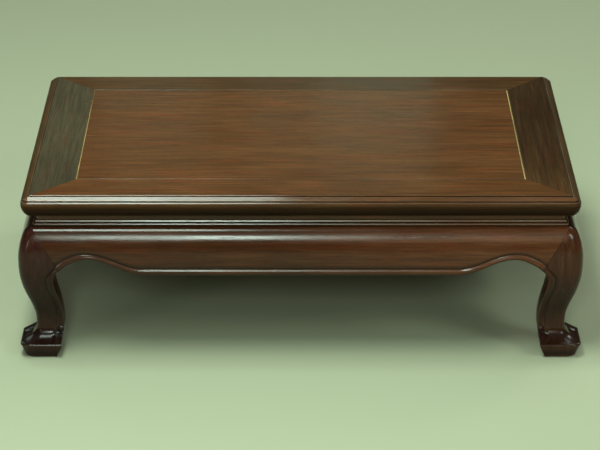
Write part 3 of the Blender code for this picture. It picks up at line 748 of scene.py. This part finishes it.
def leg_ring(z, outer, inner, chamfer=POST_CHAMFER, bead_share=1, slope_setback=0, radius=None):
    """Section of the leg, symmetric about its diagonal, with a bead at the inner edge of both faces.

    Without a radius, the outer corner gets rounder from the ankle up to the belly.
    """
    face = []
    for distance, rise in edge_bead():
        setback = slope_setback * hollow_share(distance) - rise * bead_share - ball_rise(distance, z)
        face.append((inner - distance, outer + setback))
    if radius is None:
        height_share = share_between(z, ANKLE_HEIGHT, BELLY_Z)
        radius = between(LEG_CORNER_RADIUS, SHOULDER_CORNER_RADIUS, height_share)
    centre = outer + radius
    corner = []
    for step in range(CORNER_STEPS + 1):
        angle = math.pi / 2 * step / CORNER_STEPS
        corner.append((centre - radius * math.sin(angle), centre - radius * math.cos(angle)))
    other_face = [(second, first) for first, second in reversed(face)]
    back = [(inner - chamfer, inner), (inner, inner - chamfer)]
    return [(first, second, z) for first, second in face + corner + other_face + back]


def foot_rings():
    """Foot, from the floor to the top of the cove."""
    base_outer, base_inner = FOOT_TAPER_OUTER - FOOT_OUT, FOOT_ARRIS_INNER_INSET - FOOT_TAPER_INNER
    levels = [(0, base_outer + FOOT_ROUND_RUN, base_inner - FOOT_ROUND_RUN)]
    toe = (base_outer + FOOT_ROUND_RUN, 0)
    for outer, z in quarter_round(toe, (base_outer, FOOT_ROUND_HEIGHT), FOOT_STEPS, True):
        levels.append((z, outer, base_inner - (outer - base_outer)))
    arris = (-FOOT_OUT - FOOT_ARRIS_PROUD, FOOT_ARRIS_HEIGHT)
    neck = (face_inset(FOOT_TOP_HEIGHT), FOOT_TOP_HEIGHT)
    handles = (arris[0] + FOOT_COVE_RUN, arris[1] + FOOT_COVE_RISE), (neck[0], neck[1] - FOOT_COVE_DROP)
    corners = [(base_outer, FOOT_ROUND_HEIGHT, 0), (*arris, FOOT_ARRIS_RADIUS), (*handles[0], 0)]
    levels += [(z, outer, FOOT_ARRIS_INNER_INSET) for outer, z in filleted(corners)[1:-1]]
    rings = [leg_ring(*level, ANKLE_CHAMFER, 0, radius=FOOT_CORNER_RADIUS) for level in levels]
    slope_z, slope_start, _ = levels[-1]
    for step in range(FOOT_ARRIS_STEPS, FOOT_STEPS + 1):
        outer, z = bezier((arris, *handles, neck), step / FOOT_STEPS)
        rise = (z - FOOT_ARRIS_HEIGHT) / (FOOT_TOP_HEIGHT - FOOT_ARRIS_HEIGHT)
        inner = between(FOOT_ARRIS_INNER_INSET, LEG_ANKLE_INNER_INSET, ease(rise, 1))
        climb = (z - slope_z) / (FOOT_SLOPE_TOP - slope_z)
        slope = between(slope_start, neck[0] - LEDGE_OUT, climb) if climb < 1 else neck[0]
        radius = between(FOOT_CORNER_RADIUS, LEG_CORNER_RADIUS, rise)
        rings.append(leg_ring(z, outer, inner, ANKLE_CHAMFER, 0, slope - outer, radius))
    return rings


def calf_rings():
    """Calf, from above the foot to below the spring of the arch."""
    rings = []
    for step in range(1, CALF_STEPS):
        z = between(FOOT_TOP_HEIGHT, SPRING_Z, step / CALF_STEPS)
        share = ease((SPRING_Z - z) / (SPRING_Z - ANKLE_HEIGHT), INNER_SKEW)
        inner = between(LEG_SPRING_INSET, LEG_ANKLE_INNER_INSET, share)
        chamfer = between(POST_CHAMFER, ANKLE_CHAMFER, share)
        rings.append(leg_ring(z, face_inset(z), inner, chamfer, between(1, ANKLE_BEAD_SHARE, share)))
    return rings


def shoulder_rings():
    """Shoulder, from the spring of the arch up, and the post that stands on it."""
    top_share = arch_share_at(POST_INNER_INSET)
    rings = []
    for step in range(ARCH_STEPS):
        inner, z = arch(top_share * step / (ARCH_STEPS - 1))
        rings.append(leg_ring(z, face_inset(z), inner))
    start = z
    for step in range(1, BULGE_STEPS + 1):
        z = between(start, SHOULDER_Z, math.sin(math.pi / 2 * step / BULGE_STEPS))
        rings.append(leg_ring(z, face_inset(z), POST_INNER_INSET))
    for z in (SHOULDER_Z, RAIL_BOTTOM - FIT):
        rings.append(leg_ring(z, POST_INSET, POST_BACK_INSET, bead_share=0, radius=POST_CORNER_RADIUS))
    return rings


def seam_cutter(swap):
    """Everything on the apron's side of the mitre, down to the back of the apron."""
    low, high = SEAM_FOOT_Z - CUT_MARGIN, SHOULDER_Z + CUT_MARGIN
    side = [(seam_inset(z) - SEAM_SETBACK, z) for z in (low, high)]
    side += [(OGEE_START_INSET, high), (OGEE_START_INSET, low)]
    rings = []
    for inset in (-CUT_MARGIN, APRON_BACK_INSET + FIT):
        rings.append([(inset, along, z) if swap else (along, inset, z) for along, z in side])
    return loft(rings)


def make_leg():
    body = loft(foot_rings() + calf_rings() + shoulder_rings())
    return cut(body, [seam_cutter(False), seam_cutter(True)])


# Axes of a piece
LENGTHWISE, CROSSWISE, UPRIGHT = 0, 1, 2

# How strongly each finish mirrors, and how rough it is
LACQUER_SPECULAR = 0.31
LEG_SPECULAR = 0.27
DULL_SPECULAR = 0.10
RAW_SPECULAR = 0.3
TOP_ROUGHNESS = 0.14
APRON_ROUGHNESS = 0.15
LEG_ROUGHNESS = 0.16
UNDERSIDE_ROUGHNESS = 0.25

# Noise in the woods: scale along and across the grain, detail, roughness and distortion
FIGURE = (11, 230, 6, 0.62, 0.25)
WARMTH = (15, 90, 3, 0.55, 0)
FIBRE = (26, 900, 3, 0.6, 0)
PORES = (80, 2200, 1, 0.5, 0)
CLOUD = (9, 24, 2, 0.5, 0)
RIPPLE = (30, 75, 2, 0.5, 0)
CHIPS = (240, 240, 2, 0.6, 0)
RAW_FIGURE = (6, 170, 5, 0.6, 0.2)
RAW_FIBRE = (40, 1200, 2, 0.5, 0)
WARMTH_SEED = 50
SEED_SHIFT = (3.7, 5.3, 7.1)

# Levels of the figure at which the tones lie
TONE_LEVELS = (0.28, 0.46, 0.60, 0.74)
RAW_LEVELS = (0.34, 0.66)

# What the other noises do: two of their levels, and the amounts there
FIBRE_SHADE = (0.25, 0.75, 0.80, 1.20)
CLOUD_SHADE = (0.3, 0.7, 0.86, 1.14)
PORE_SHADE = (0.30, 0.38, 0.62, 1.0)
PORE_HEIGHT = (0.30, 0.38, 0.0, 0.65)
WARMTH_AMOUNT = (0.52, 0.70, 0.0, 0.8)
RUBBED_AND_HIGHLIGHT_AMOUNT = (0.35, 0.7, 0.30, 0.85)
CHIPPED_AMOUNT = (0.70, 0.73, 0.0, 0.9)
RAW_SHADE = (0.2, 0.8, 0.75, 1.2)
RAW_ROUGHNESS = (0.2, 0.8, 0.55, 0.75)

# Levels of the cloud between which the gloss changes, and by how much the roughness differs there
GLOSS_LEVELS = (0.3, 0.7)
GLOSS_SPREAD = (-0.04, 0.06)

# Darkening by the painted shade, from none to full, and how much duller chips and the painted shade are than
# lacquer
PAINTED_SHADE_DARKENING = (0, 1, 1, 0.12)
DULLING = 0.4

# Share of the fibres in the relief of the grain, then strength and depth of the bumps
FIBRE_HEIGHT = 0.35
GRAIN_BUMP = (0.10, 0.0002)
RIPPLE_BUMP = (0.13, 0.0004)
RAW_BUMP = (0.3, 0.0003)


def add_node(tree, kind, inputs, **settings):
    """Node of a kind; each input takes a plain value or another node's output."""
    made = tree.nodes.new(kind)
    for key, value in settings.items():
        setattr(made, key, value)
    for key, value in inputs.items():
        if isinstance(value, bpy.types.NodeSocket):
            tree.links.new(value, made.inputs[key])
        else:
            made.inputs[key].default_value = value
    return made


def mixed(tree, factor, first, second, blend="MIX"):
    """Colour between two colours; input 6 and 7 are the colour sockets, output 2 the colour result."""
    inputs = {0: factor, 6: first, 7: second}
    return add_node(tree, "ShaderNodeMix", inputs, data_type="RGBA", blend_type=blend).outputs[2]


def ranged(tree, value, low, high, to_low, to_high):
    inputs = {"Value": value, "From Min": low, "From Max": high, "To Min": to_low, "To Max": to_high}
    return add_node(tree, "ShaderNodeMapRange", inputs).outputs[0]


def product(tree, first, second):
    return add_node(tree, "ShaderNodeMath", {0: first, 1: second}, operation="MULTIPLY").outputs[0]


def total(tree, first, second):
    return add_node(tree, "ShaderNodeMath", {0: first, 1: second}, operation="ADD").outputs[0]


def attribute(tree, name):
    return add_node(tree, "ShaderNodeAttribute", {}, attribute_name=name).outputs["Fac"]


def bumped(tree, height, strength, depth, normal=None):
    inputs = {"Strength": strength, "Distance": depth, "Height": height}
    if normal is not None:
        inputs["Normal"] = normal
    return add_node(tree, "ShaderNodeBump", inputs).outputs[0]


def ramp(tree, value, stops):
    made = add_node(tree, "ShaderNodeValToRGB", {"Fac": value})
    elements = made.color_ramp.elements
    while len(elements) < len(stops):
        elements.new(1)
    for element, (position, colour) in zip(elements, stops):
        element.position = position
        element.color = (*colour, 1)
    return made.outputs[0]


def noise(tree, vector, scale, detail, roughness, distortion=0):
    inputs = {"Vector": vector, "Scale": scale, "Detail": detail, "Roughness": roughness}
    inputs["Distortion"] = distortion
    return add_node(tree, "ShaderNodeTexNoise", inputs).outputs[0]


def grained(tree, coordinates, axis, seed, kind):
    """Noise drawn out along the grain, shifted by a seed so that no two boards are alike."""
    along, across, *texture = kind
    scale = [across] * 3
    scale[axis] = along
    shift = [seed * step for step in SEED_SHIFT]
    inputs = {"Vector": coordinates, "Location": shift, "Scale": scale}
    return noise(tree, add_node(tree, "ShaderNodeMapping", inputs).outputs[0], 1, *texture)


def new_material(name):
    material = bpy.data.materials.new(name)
    material.use_nodes = True
    return material, material.node_tree, material.node_tree.nodes["Principled BSDF"]


def dress(tree, shader, colour, gloss, normal, specular):
    tree.links.new(colour, shader.inputs["Base Color"])
    tree.links.new(gloss, shader.inputs["Roughness"])
    tree.links.new(normal, shader.inputs["Normal"])
    shader.inputs["Specular IOR Level"].default_value = specular


def lacquered_wood(name, tones, axis, seed, roughness, painted_shades=(), specular=LACQUER_SPECULAR):
    """Straight-grained hardwood under gloss lacquer; tones run from the dark to the light streaks.

    Each painted shade lightens or darkens the wood along one axis, as painted light and shade: its index,
    two positions and the shades there.
    """
    material, tree, shader = new_material(name)
    coordinates = add_node(tree, "ShaderNodeTexCoord", {}).outputs["Object"]
    figure = grained(tree, coordinates, axis, seed, FIGURE)
    warmth = grained(tree, coordinates, axis, seed + WARMTH_SEED, WARMTH)
    fibre = grained(tree, coordinates, axis, seed, FIBRE)
    pores = grained(tree, coordinates, axis, seed, PORES)
    cloud = grained(tree, coordinates, axis, seed, CLOUD)
    ripple = grained(tree, coordinates, axis, seed, RIPPLE)
    chips = grained(tree, coordinates, axis, seed, CHIPS)
    shaded = attribute(tree, "dirt")
    worn_and_lit = attribute(tree, "wear")

    shade = product(tree, ranged(tree, fibre, *FIBRE_SHADE), ranged(tree, cloud, *CLOUD_SHADE))
    shade = product(tree, shade, ranged(tree, pores, *PORE_SHADE))
    # Painted light and shade along the piece
    places = add_node(tree, "ShaderNodeSeparateXYZ", {"Vector": coordinates}).outputs
    for shade_axis, *fade in painted_shades:
        shade = product(tree, shade, ranged(tree, places[shade_axis], *fade))
    # Painted shade in creases and on faces that look down
    shade = product(tree, shade, ranged(tree, shaded, *PAINTED_SHADE_DARKENING))

    # Rubbed wear on arrises, lightened also as a painted highlight
    rubbed_and_highlight = product(tree, worn_and_lit, ranged(tree, cloud, *RUBBED_AND_HIGHLIGHT_AMOUNT))
    chipped = product(tree, worn_and_lit, ranged(tree, chips, *CHIPPED_AMOUNT))
    colour = ramp(tree, figure, list(zip(TONE_LEVELS, tones)))
    colour = mixed(tree, ranged(tree, warmth, *WARMTH_AMOUNT), colour, BLUSH, "MULTIPLY")
    colour = mixed(tree, 1.0, colour, shade, "MULTIPLY")
    colour = mixed(tree, rubbed_and_highlight, colour, RUBBED_AND_HIGHLIGHT)
    colour = mixed(tree, chipped, colour, CHIPPED)

    grain = total(tree, product(tree, fibre, FIBRE_HEIGHT), ranged(tree, pores, *PORE_HEIGHT))
    normal = bumped(tree, ripple, *RIPPLE_BUMP, bumped(tree, grain, *GRAIN_BUMP))
    gloss_range = [roughness + change for change in GLOSS_SPREAD]
    gloss = ranged(tree, cloud, *GLOSS_LEVELS, *gloss_range)
    gloss = total(tree, gloss, product(tree, chipped, DULLING))
    gloss = total(tree, gloss, product(tree, shaded, DULLING))
    dress(tree, shader, colour, gloss, normal, specular)
    return material


def bare_wood(name, light, dark, axis, seed):
    """Planed wood without a finish."""
    material, tree, shader = new_material(name)
    coordinates = add_node(tree, "ShaderNodeTexCoord", {}).outputs["Object"]
    figure = grained(tree, coordinates, axis, seed, RAW_FIGURE)
    fibre = grained(tree, coordinates, axis, seed, RAW_FIBRE)
    colour = ramp(tree, figure, list(zip(RAW_LEVELS, (dark, light))))
    colour = mixed(tree, 1.0, colour, ranged(tree, fibre, *RAW_SHADE), "MULTIPLY")
    gloss = ranged(tree, fibre, *RAW_ROUGHNESS)
    dress(tree, shader, colour, gloss, bumped(tree, fibre, *RAW_BUMP), RAW_SPECULAR)
    return material


# Streaks of the woods, from dark to light; the panel has the long tones, the end aprons the pale ones
LONG_TONES = ((0.090, 0.033, 0.011), (0.113, 0.041, 0.013), (0.139, 0.052, 0.016), (0.176, 0.066, 0.020))
# Painted shade: darker tones for the back rail, the end mouldings and the rail undersides
SHADED_BACK_TONES = ((0.058, 0.024, 0.009), (0.075, 0.032, 0.011), (0.094, 0.041, 0.013), (0.120, 0.052, 0.016))
# Painted sheen: olive tones on the left rail
LEFT_SHEEN_TONES = ((0.058, 0.042, 0.022), (0.071, 0.053, 0.029), (0.087, 0.066, 0.036), (0.105, 0.080, 0.044))
# Painted shade: darker tones on the right rail
RIGHT_SHADED_TONES = ((0.029, 0.012, 0.005), (0.038, 0.017, 0.006), (0.050, 0.023, 0.008), (0.064, 0.030, 0.011))
WAIST_TONES = ((0.045, 0.016, 0.006), (0.065, 0.023, 0.008), (0.085, 0.031, 0.010), (0.110, 0.040, 0.013))
APRON_TONES = ((0.066, 0.020, 0.009), (0.092, 0.029, 0.011), (0.118, 0.039, 0.015), (0.153, 0.051, 0.020))
LEG_TONES = ((0.022, 0.006, 0.004), (0.032, 0.009, 0.006), (0.042, 0.012, 0.008), (0.056, 0.017, 0.010))
# Paler leg tones, painted light on the right legs; the end aprons have them too
PALE_LEG_TONES = ((0.036, 0.011, 0.006), (0.053, 0.017, 0.008), (0.070, 0.023, 0.011), (0.092, 0.031, 0.014))

# Reddened streaks, rubbed arrises lightened also as painted highlight, chipped arrises, pale lines beside
# the panel, and unfinished wood
BLUSH = (1.25, 0.92, 0.90, 1)
RUBBED_AND_HIGHLIGHT = (0.260, 0.170, 0.110, 1)
CHIPPED = (0.46, 0.37, 0.26, 1)
STRING_LIGHT = (0.62, 0.44, 0.16)
STRING_DARK = (0.14, 0.08, 0.025)
RAW_LIGHT = (0.36, 0.24, 0.14)
RAW_DARK = (0.20, 0.12, 0.062)

# Painted light and shade along a piece: the axis, two positions on it and the shades there
# Painted shade on the lower nose, the apron's shoulder, the lower legs and the foot slope; painted light
# towards the right and on the foot faces
MOULDING_PAINTED_SHADE = (UPRIGHT, HEIGHT - 0.0155, HEIGHT - 0.0055, 0.45, 1)
END_MOULDING_PAINTED_SHADE = (UPRIGHT, HEIGHT - 0.012, HEIGHT - 0.003, 0.3, 1)
LEFT_RAIL_PAINTED_SHADE = (LENGTHWISE, 0.0, 0.2, 1, 0.74)
RIGHT_RAIL_PAINTED_LIGHT = (LENGTHWISE, -0.2, -0.05, 1.75, 1)
WAIST_PAINTED_LIGHT = (LENGTHWISE, -0.05, 0.25, 0.8, 1.2)
APRON_PAINTED_LIGHT = (LENGTHWISE, -0.02, 0.25, 0.55, 0.92)
APRON_END_PAINTED_SHADE = (LENGTHWISE, -0.30, -0.22, 0.86, 1)
SHOULDER_PAINTED_SHADE = (UPRIGHT, SHOULDER_Z - 0.022, SHOULDER_Z - 0.004, 1, 0.9)
LEG_PAINTED_SHADE = (UPRIGHT, 0.06, 0.17, 0.64, 1.05)
FOOT_FACE_PAINTED_LIGHT = (UPRIGHT, 0.016, 0.019, 3.6, 1)
FOOT_SLOPE_PAINTED_SHADE = (UPRIGHT, 0.029, 0.037, 0.5, 1)

# Woods of the rails: tones and painted shades of the top, then those of the edge moulding and the underside
RAIL_WOODS = {
    "top_rail_front": (LONG_TONES, [], LONG_TONES, [MOULDING_PAINTED_SHADE]),
    "top_rail_right": (RIGHT_SHADED_TONES, [RIGHT_RAIL_PAINTED_LIGHT], SHADED_BACK_TONES, [END_MOULDING_PAINTED_SHADE]),
    "top_rail_back": (SHADED_BACK_TONES, [], SHADED_BACK_TONES, [MOULDING_PAINTED_SHADE]),
    "top_rail_left": (LEFT_SHEEN_TONES, [LEFT_RAIL_PAINTED_SHADE], SHADED_BACK_TONES, [END_MOULDING_PAINTED_SHADE]),
}

seeds = iter(range(1, 100))


def rail_finish(node):
    """Gloss on the top and the edge moulding, and a dull underside."""
    tones, painted_shades, edge_tones, edge_painted_shades = RAIL_WOODS[node]
    seed = next(seeds)
    top = lacquered_wood(node + "_wood", tones, LENGTHWISE, seed, TOP_ROUGHNESS, painted_shades)
    edge = lacquered_wood(node + "_moulding", edge_tones, LENGTHWISE, seed, TOP_ROUGHNESS, edge_painted_shades)
    under = lacquered_wood(
        node + "_underside", edge_tones, LENGTHWISE, seed, UNDERSIDE_ROUGHNESS, edge_painted_shades, DULL_SPECULAR
    )
    return [top, edge, under]


def apron_finish(node):
    tones = PALE_LEG_TONES if node.endswith(("left", "right")) else APRON_TONES
    painted_shades = [APRON_PAINTED_LIGHT, APRON_END_PAINTED_SHADE, SHOULDER_PAINTED_SHADE]
    return [lacquered_wood(node + "_wood", tones, LENGTHWISE, next(seeds), APRON_ROUGHNESS, painted_shades)]


def waist_finish(node):
    painted_shades = [WAIST_PAINTED_LIGHT]
    return [lacquered_wood(node + "_wood", WAIST_TONES, LENGTHWISE, next(seeds), APRON_ROUGHNESS, painted_shades)]


def leg_finish(node):
    # The right legs are paler as painted light from the right
    tones = PALE_LEG_TONES if node.endswith("right") else LEG_TONES
    painted_shades = [LEG_PAINTED_SHADE, FOOT_FACE_PAINTED_LIGHT, FOOT_SLOPE_PAINTED_SHADE]
    name = node + "_wood"
    return [lacquered_wood(name, tones, UPRIGHT, next(seeds), LEG_ROUGHNESS, painted_shades, LEG_SPECULAR)]


def build_table():
    panel_wood = lacquered_wood("top_panel_wood", LONG_TONES, LENGTHWISE, next(seeds), TOP_ROUGHNESS)
    string_wood = bare_wood("panel_end_wood", STRING_LIGHT, STRING_DARK, CROSSWISE, next(seeds))
    panel_woods = [panel_wood, string_wood]
    place("top_panel", make_panel(), panel_woods, flat_faces=True, zone=in_rebate)
    long_rail = cut(mitred_strip(rail_profile(), HALF_LENGTH, TOP_CORNER_RADIUS), batten_mortises())
    end_rail = mitred_strip(rail_profile(), HALF_DEPTH, TOP_CORNER_RADIUS)
    place_on_sides("top_rail", long_rail, end_rail, "rail", rail_finish, True, rail_zone)
    waists = make_waist(HALF_LENGTH), make_waist(HALF_DEPTH)
    place_on_sides("waist", *waists, "waist", waist_finish, flat_faces=True)
    beads = make_shoulder_bead(HALF_LENGTH), make_shoulder_bead(HALF_DEPTH)
    place_on_sides("shoulder_bead", *beads, "waist", waist_finish, flat_faces=True)
    aprons = make_apron(HALF_LENGTH), make_apron(HALF_DEPTH)
    place_on_sides("apron", *aprons, "apron", apron_finish, flat_faces=True)
    place_on_corners("leg", make_leg(), leg_finish)
    for node in frame["nodes"]:
        if node.startswith(("panel_batten", "corner_block")):
            axis = CROSSWISE if node.startswith("panel_batten") else LENGTHWISE
            item = frame["nodes"][node]
            item.data.materials.clear()
            item.data.materials.append(bare_wood(node + "_wood", RAW_LIGHT, RAW_DARK, axis, next(seeds)))


# Camera, from the photograph's viewpoint
CAMERA_PLACE = (-0.001, -3.3628, 1.5276)
CAMERA_PITCH = math.radians(23.17)
CAMERA_LENS = 156.73
SENSOR_WIDTH = 36
CAMERA_REACH = 100

# Floor: flat out to the last of its radii, then curving up to a low rim, with a fine speckle
FLOOR_RADII = (0.5, 2.0, 7.0)
RIM_RADIUS = 10.0
RIM_HEIGHT = 2.2
FLOOR_SIDES = 96
RIM_STEPS = 12
FLOOR_COLOUR = (0.385, 0.400, 0.278)
FLOOR_ROUGHNESS = 0.95
FLOOR_SPECULAR = 0.1
SPECKLE = (900, 2, 0.6)
SPECKLE_SHADE = (0.3, 0.7, 0.94, 1.06)

# Room light by the height of a direction, from 0 at the horizon to 1 overhead
ROOM_LIGHT = (
    (0.0, (0.03, 0.03, 0.028)),
    (0.55, (0.05, 0.05, 0.045)),
    (0.85, (0.20, 0.21, 0.19)),
    (1.0, (0.30, 0.31, 0.28)),
)

# Softboxes: name, centre, point aimed at, width, height, brightness of the lit face, colour
TUBE_LIGHT = (0.80, 1.0, 0.88)
WHITE_LIGHT = (1.0, 0.98, 0.95)
WARM_LIGHT = (1.0, 0.72, 0.42)
CARD_LIGHT = (0.65, 1.0, 0.72)
SOFTBOXES = (
    ("overhead", (-0.48, 0.03, 2.35), (-0.48, 0.03, 0), 0.38, 0.42, 25.0, TUBE_LIGHT),
    ("overhead_right", (-0.17, 0.03, 2.35), (-0.17, 0.03, 0), 0.24, 0.42, 16.0, TUBE_LIGHT),
    ("front_high", (-0.42, -0.90, 2.40), (-0.42, -0.90, 0), 0.50, 1.20, 24.0, TUBE_LIGHT),
    ("front_low", (-0.34, -4.60, 2.42), (-0.14, -0.24, 0.17), 0.60, 1.00, 30.0, TUBE_LIGHT),
    ("front_right", (0.55, -4.60, 1.85), (0.20, -0.24, 0.17), 0.90, 1.20, 1.9, WARM_LIGHT),
    ("front_mid", (0, -3.00, 2.20), (0, -0.24, 0.17), 5.00, 1.20, 0.8, TUBE_LIGHT),
    ("side_left", (-2.30, -2.30, 0.95), (-0.36, -0.22, 0.17), 0.40, 0.90, 5.0, WHITE_LIGHT),
    ("side_right", (2.23, -1.77, 1.95), (0.36, -0.235, 0.174), 0.70, 0.80, 13.0, TUBE_LIGHT),
    ("rear_right", (2.05, 1.71, 2.15), (0.36, -0.20, 0.20), 0.60, 0.60, 10.0, WHITE_LIGHT),
    ("rear_high", (0.70, 1.10, 2.60), (0.70, 1.10, 0), 1.00, 1.80, 2.4, TUBE_LIGHT),
    ("rear_left", (-1.74, 1.95, 1.60), (-0.36, -0.20, 0.03), 1.00, 1.00, 1.5, TUBE_LIGHT),
    ("back_left", (-0.53, 5.40, 1.80), (-0.53, 0, 1.80), 0.40, 1.30, 0.20, CARD_LIGHT),
    ("back_middle", (-0.10, 5.40, 1.80), (-0.10, 0, 1.80), 0.20, 1.30, 0.20, CARD_LIGHT),
    ("back_right", (0.26, 5.40, 1.80), (0.26, 0, 1.80), 0.43, 1.30, 0.36, CARD_LIGHT),
)

# Lamps low enough to be mirrored in the top, as a white patch, from the side across from them
LOW_LAMPS = ("front_low", "front_right", "side_left", "side_right", "rear_right")


def add_camera():
    data = bpy.data.cameras.new("camera")
    data.lens = CAMERA_LENS
    data.sensor_width = SENSOR_WIDTH
    data.clip_end = CAMERA_REACH
    camera = bpy.data.objects.new("camera", data)
    camera.location = CAMERA_PLACE
    camera.rotation_euler = (math.pi / 2 - CAMERA_PITCH, 0, 0)
    bpy.context.scene.collection.objects.link(camera)
    bpy.context.scene.camera = camera


def keep_off_top(lamp):
    """Flag a lamp off the panel and the rails, and leave the rest of the table in its light."""
    flagged = bpy.data.collections.new(lamp.name + "_flagged")
    for piece in bpy.context.scene.objects:
        if piece.name.startswith("top_"):
            flagged.objects.link(piece)
    lamp.light_linking.receiver_collection = flagged
    for entry in flagged.collection_objects:
        entry.light_linking.link_state = "EXCLUDE"


def add_softboxes():
    for name, centre, target, width, height, brightness, colour in SOFTBOXES:
        data = bpy.data.lights.new(name, "AREA")
        data.shape = "RECTANGLE"
        data.size = width
        data.size_y = height
        data.energy = brightness * math.pi * width * height
        data.color = colour
        lamp = bpy.data.objects.new(name, data)
        lamp.location = centre
        direction = Vector(target) - Vector(centre)
        lamp.rotation_euler = direction.to_track_quat("-Z", "Y").to_euler()
        lamp.visible_camera = False
        bpy.context.scene.collection.objects.link(lamp)
        if name in LOW_LAMPS:
            keep_off_top(lamp)


def add_floor():
    mesh_edit = bmesh.new()
    profile = [(radius, 0) for radius in FLOOR_RADII]
    for step in range(1, RIM_STEPS + 1):
        angle = math.pi / 2 * step / RIM_STEPS
        radius = between(FLOOR_RADII[-1], RIM_RADIUS, math.sin(angle))
        profile.append((radius, RIM_HEIGHT * (1 - math.cos(angle))))
    rings = []
    for radius, z in profile:
        ring = []
        for side in range(FLOOR_SIDES):
            angle = 2 * math.pi * side / FLOOR_SIDES
            ring.append(mesh_edit.verts.new((radius * math.cos(angle), radius * math.sin(angle), z)))
        rings.append(ring)
    mesh_edit.faces.new(rings[0])
    for inner, outer in zip(rings, rings[1:]):
        for side in range(FLOOR_SIDES):
            following = (side + 1) % FLOOR_SIDES
            mesh_edit.faces.new((inner[side], outer[side], outer[following], inner[following]))
    mesh = bpy.data.meshes.new("floor")
    mesh_edit.to_mesh(mesh)
    mesh_edit.free()
    mesh.shade_smooth()
    material, tree, shader = new_material("pale_floor")
    coordinates = add_node(tree, "ShaderNodeTexCoord", {}).outputs["Object"]
    tone = ranged(tree, noise(tree, coordinates, *SPECKLE), *SPECKLE_SHADE)
    tree.links.new(mixed(tree, 1.0, (*FLOOR_COLOUR, 1), tone, "MULTIPLY"), shader.inputs["Base Color"])
    shader.inputs["Roughness"].default_value = FLOOR_ROUGHNESS
    shader.inputs["Specular IOR Level"].default_value = FLOOR_SPECULAR
    mesh.materials.append(material)
    linked(mesh, "floor")


def add_world():
    """Soft room light: dim round the horizon and brighter overhead."""
    world = bpy.data.worlds.new("studio")
    world.use_nodes = True
    tree = world.node_tree
    direction = add_node(tree, "ShaderNodeTexCoord", {}).outputs["Generated"]
    height = add_node(tree, "ShaderNodeSeparateXYZ", {"Vector": direction}).outputs["Z"]
    tree.links.new(ramp(tree, height, ROOM_LIGHT), tree.nodes["Background"].inputs["Color"])
    tree.nodes["Background"].inputs["Strength"].default_value = 1
    bpy.context.scene.world = world


bpy.context.scene.view_settings.view_transform = "Standard"
build_table()
add_camera()
add_softboxes()
add_floor()
add_world()
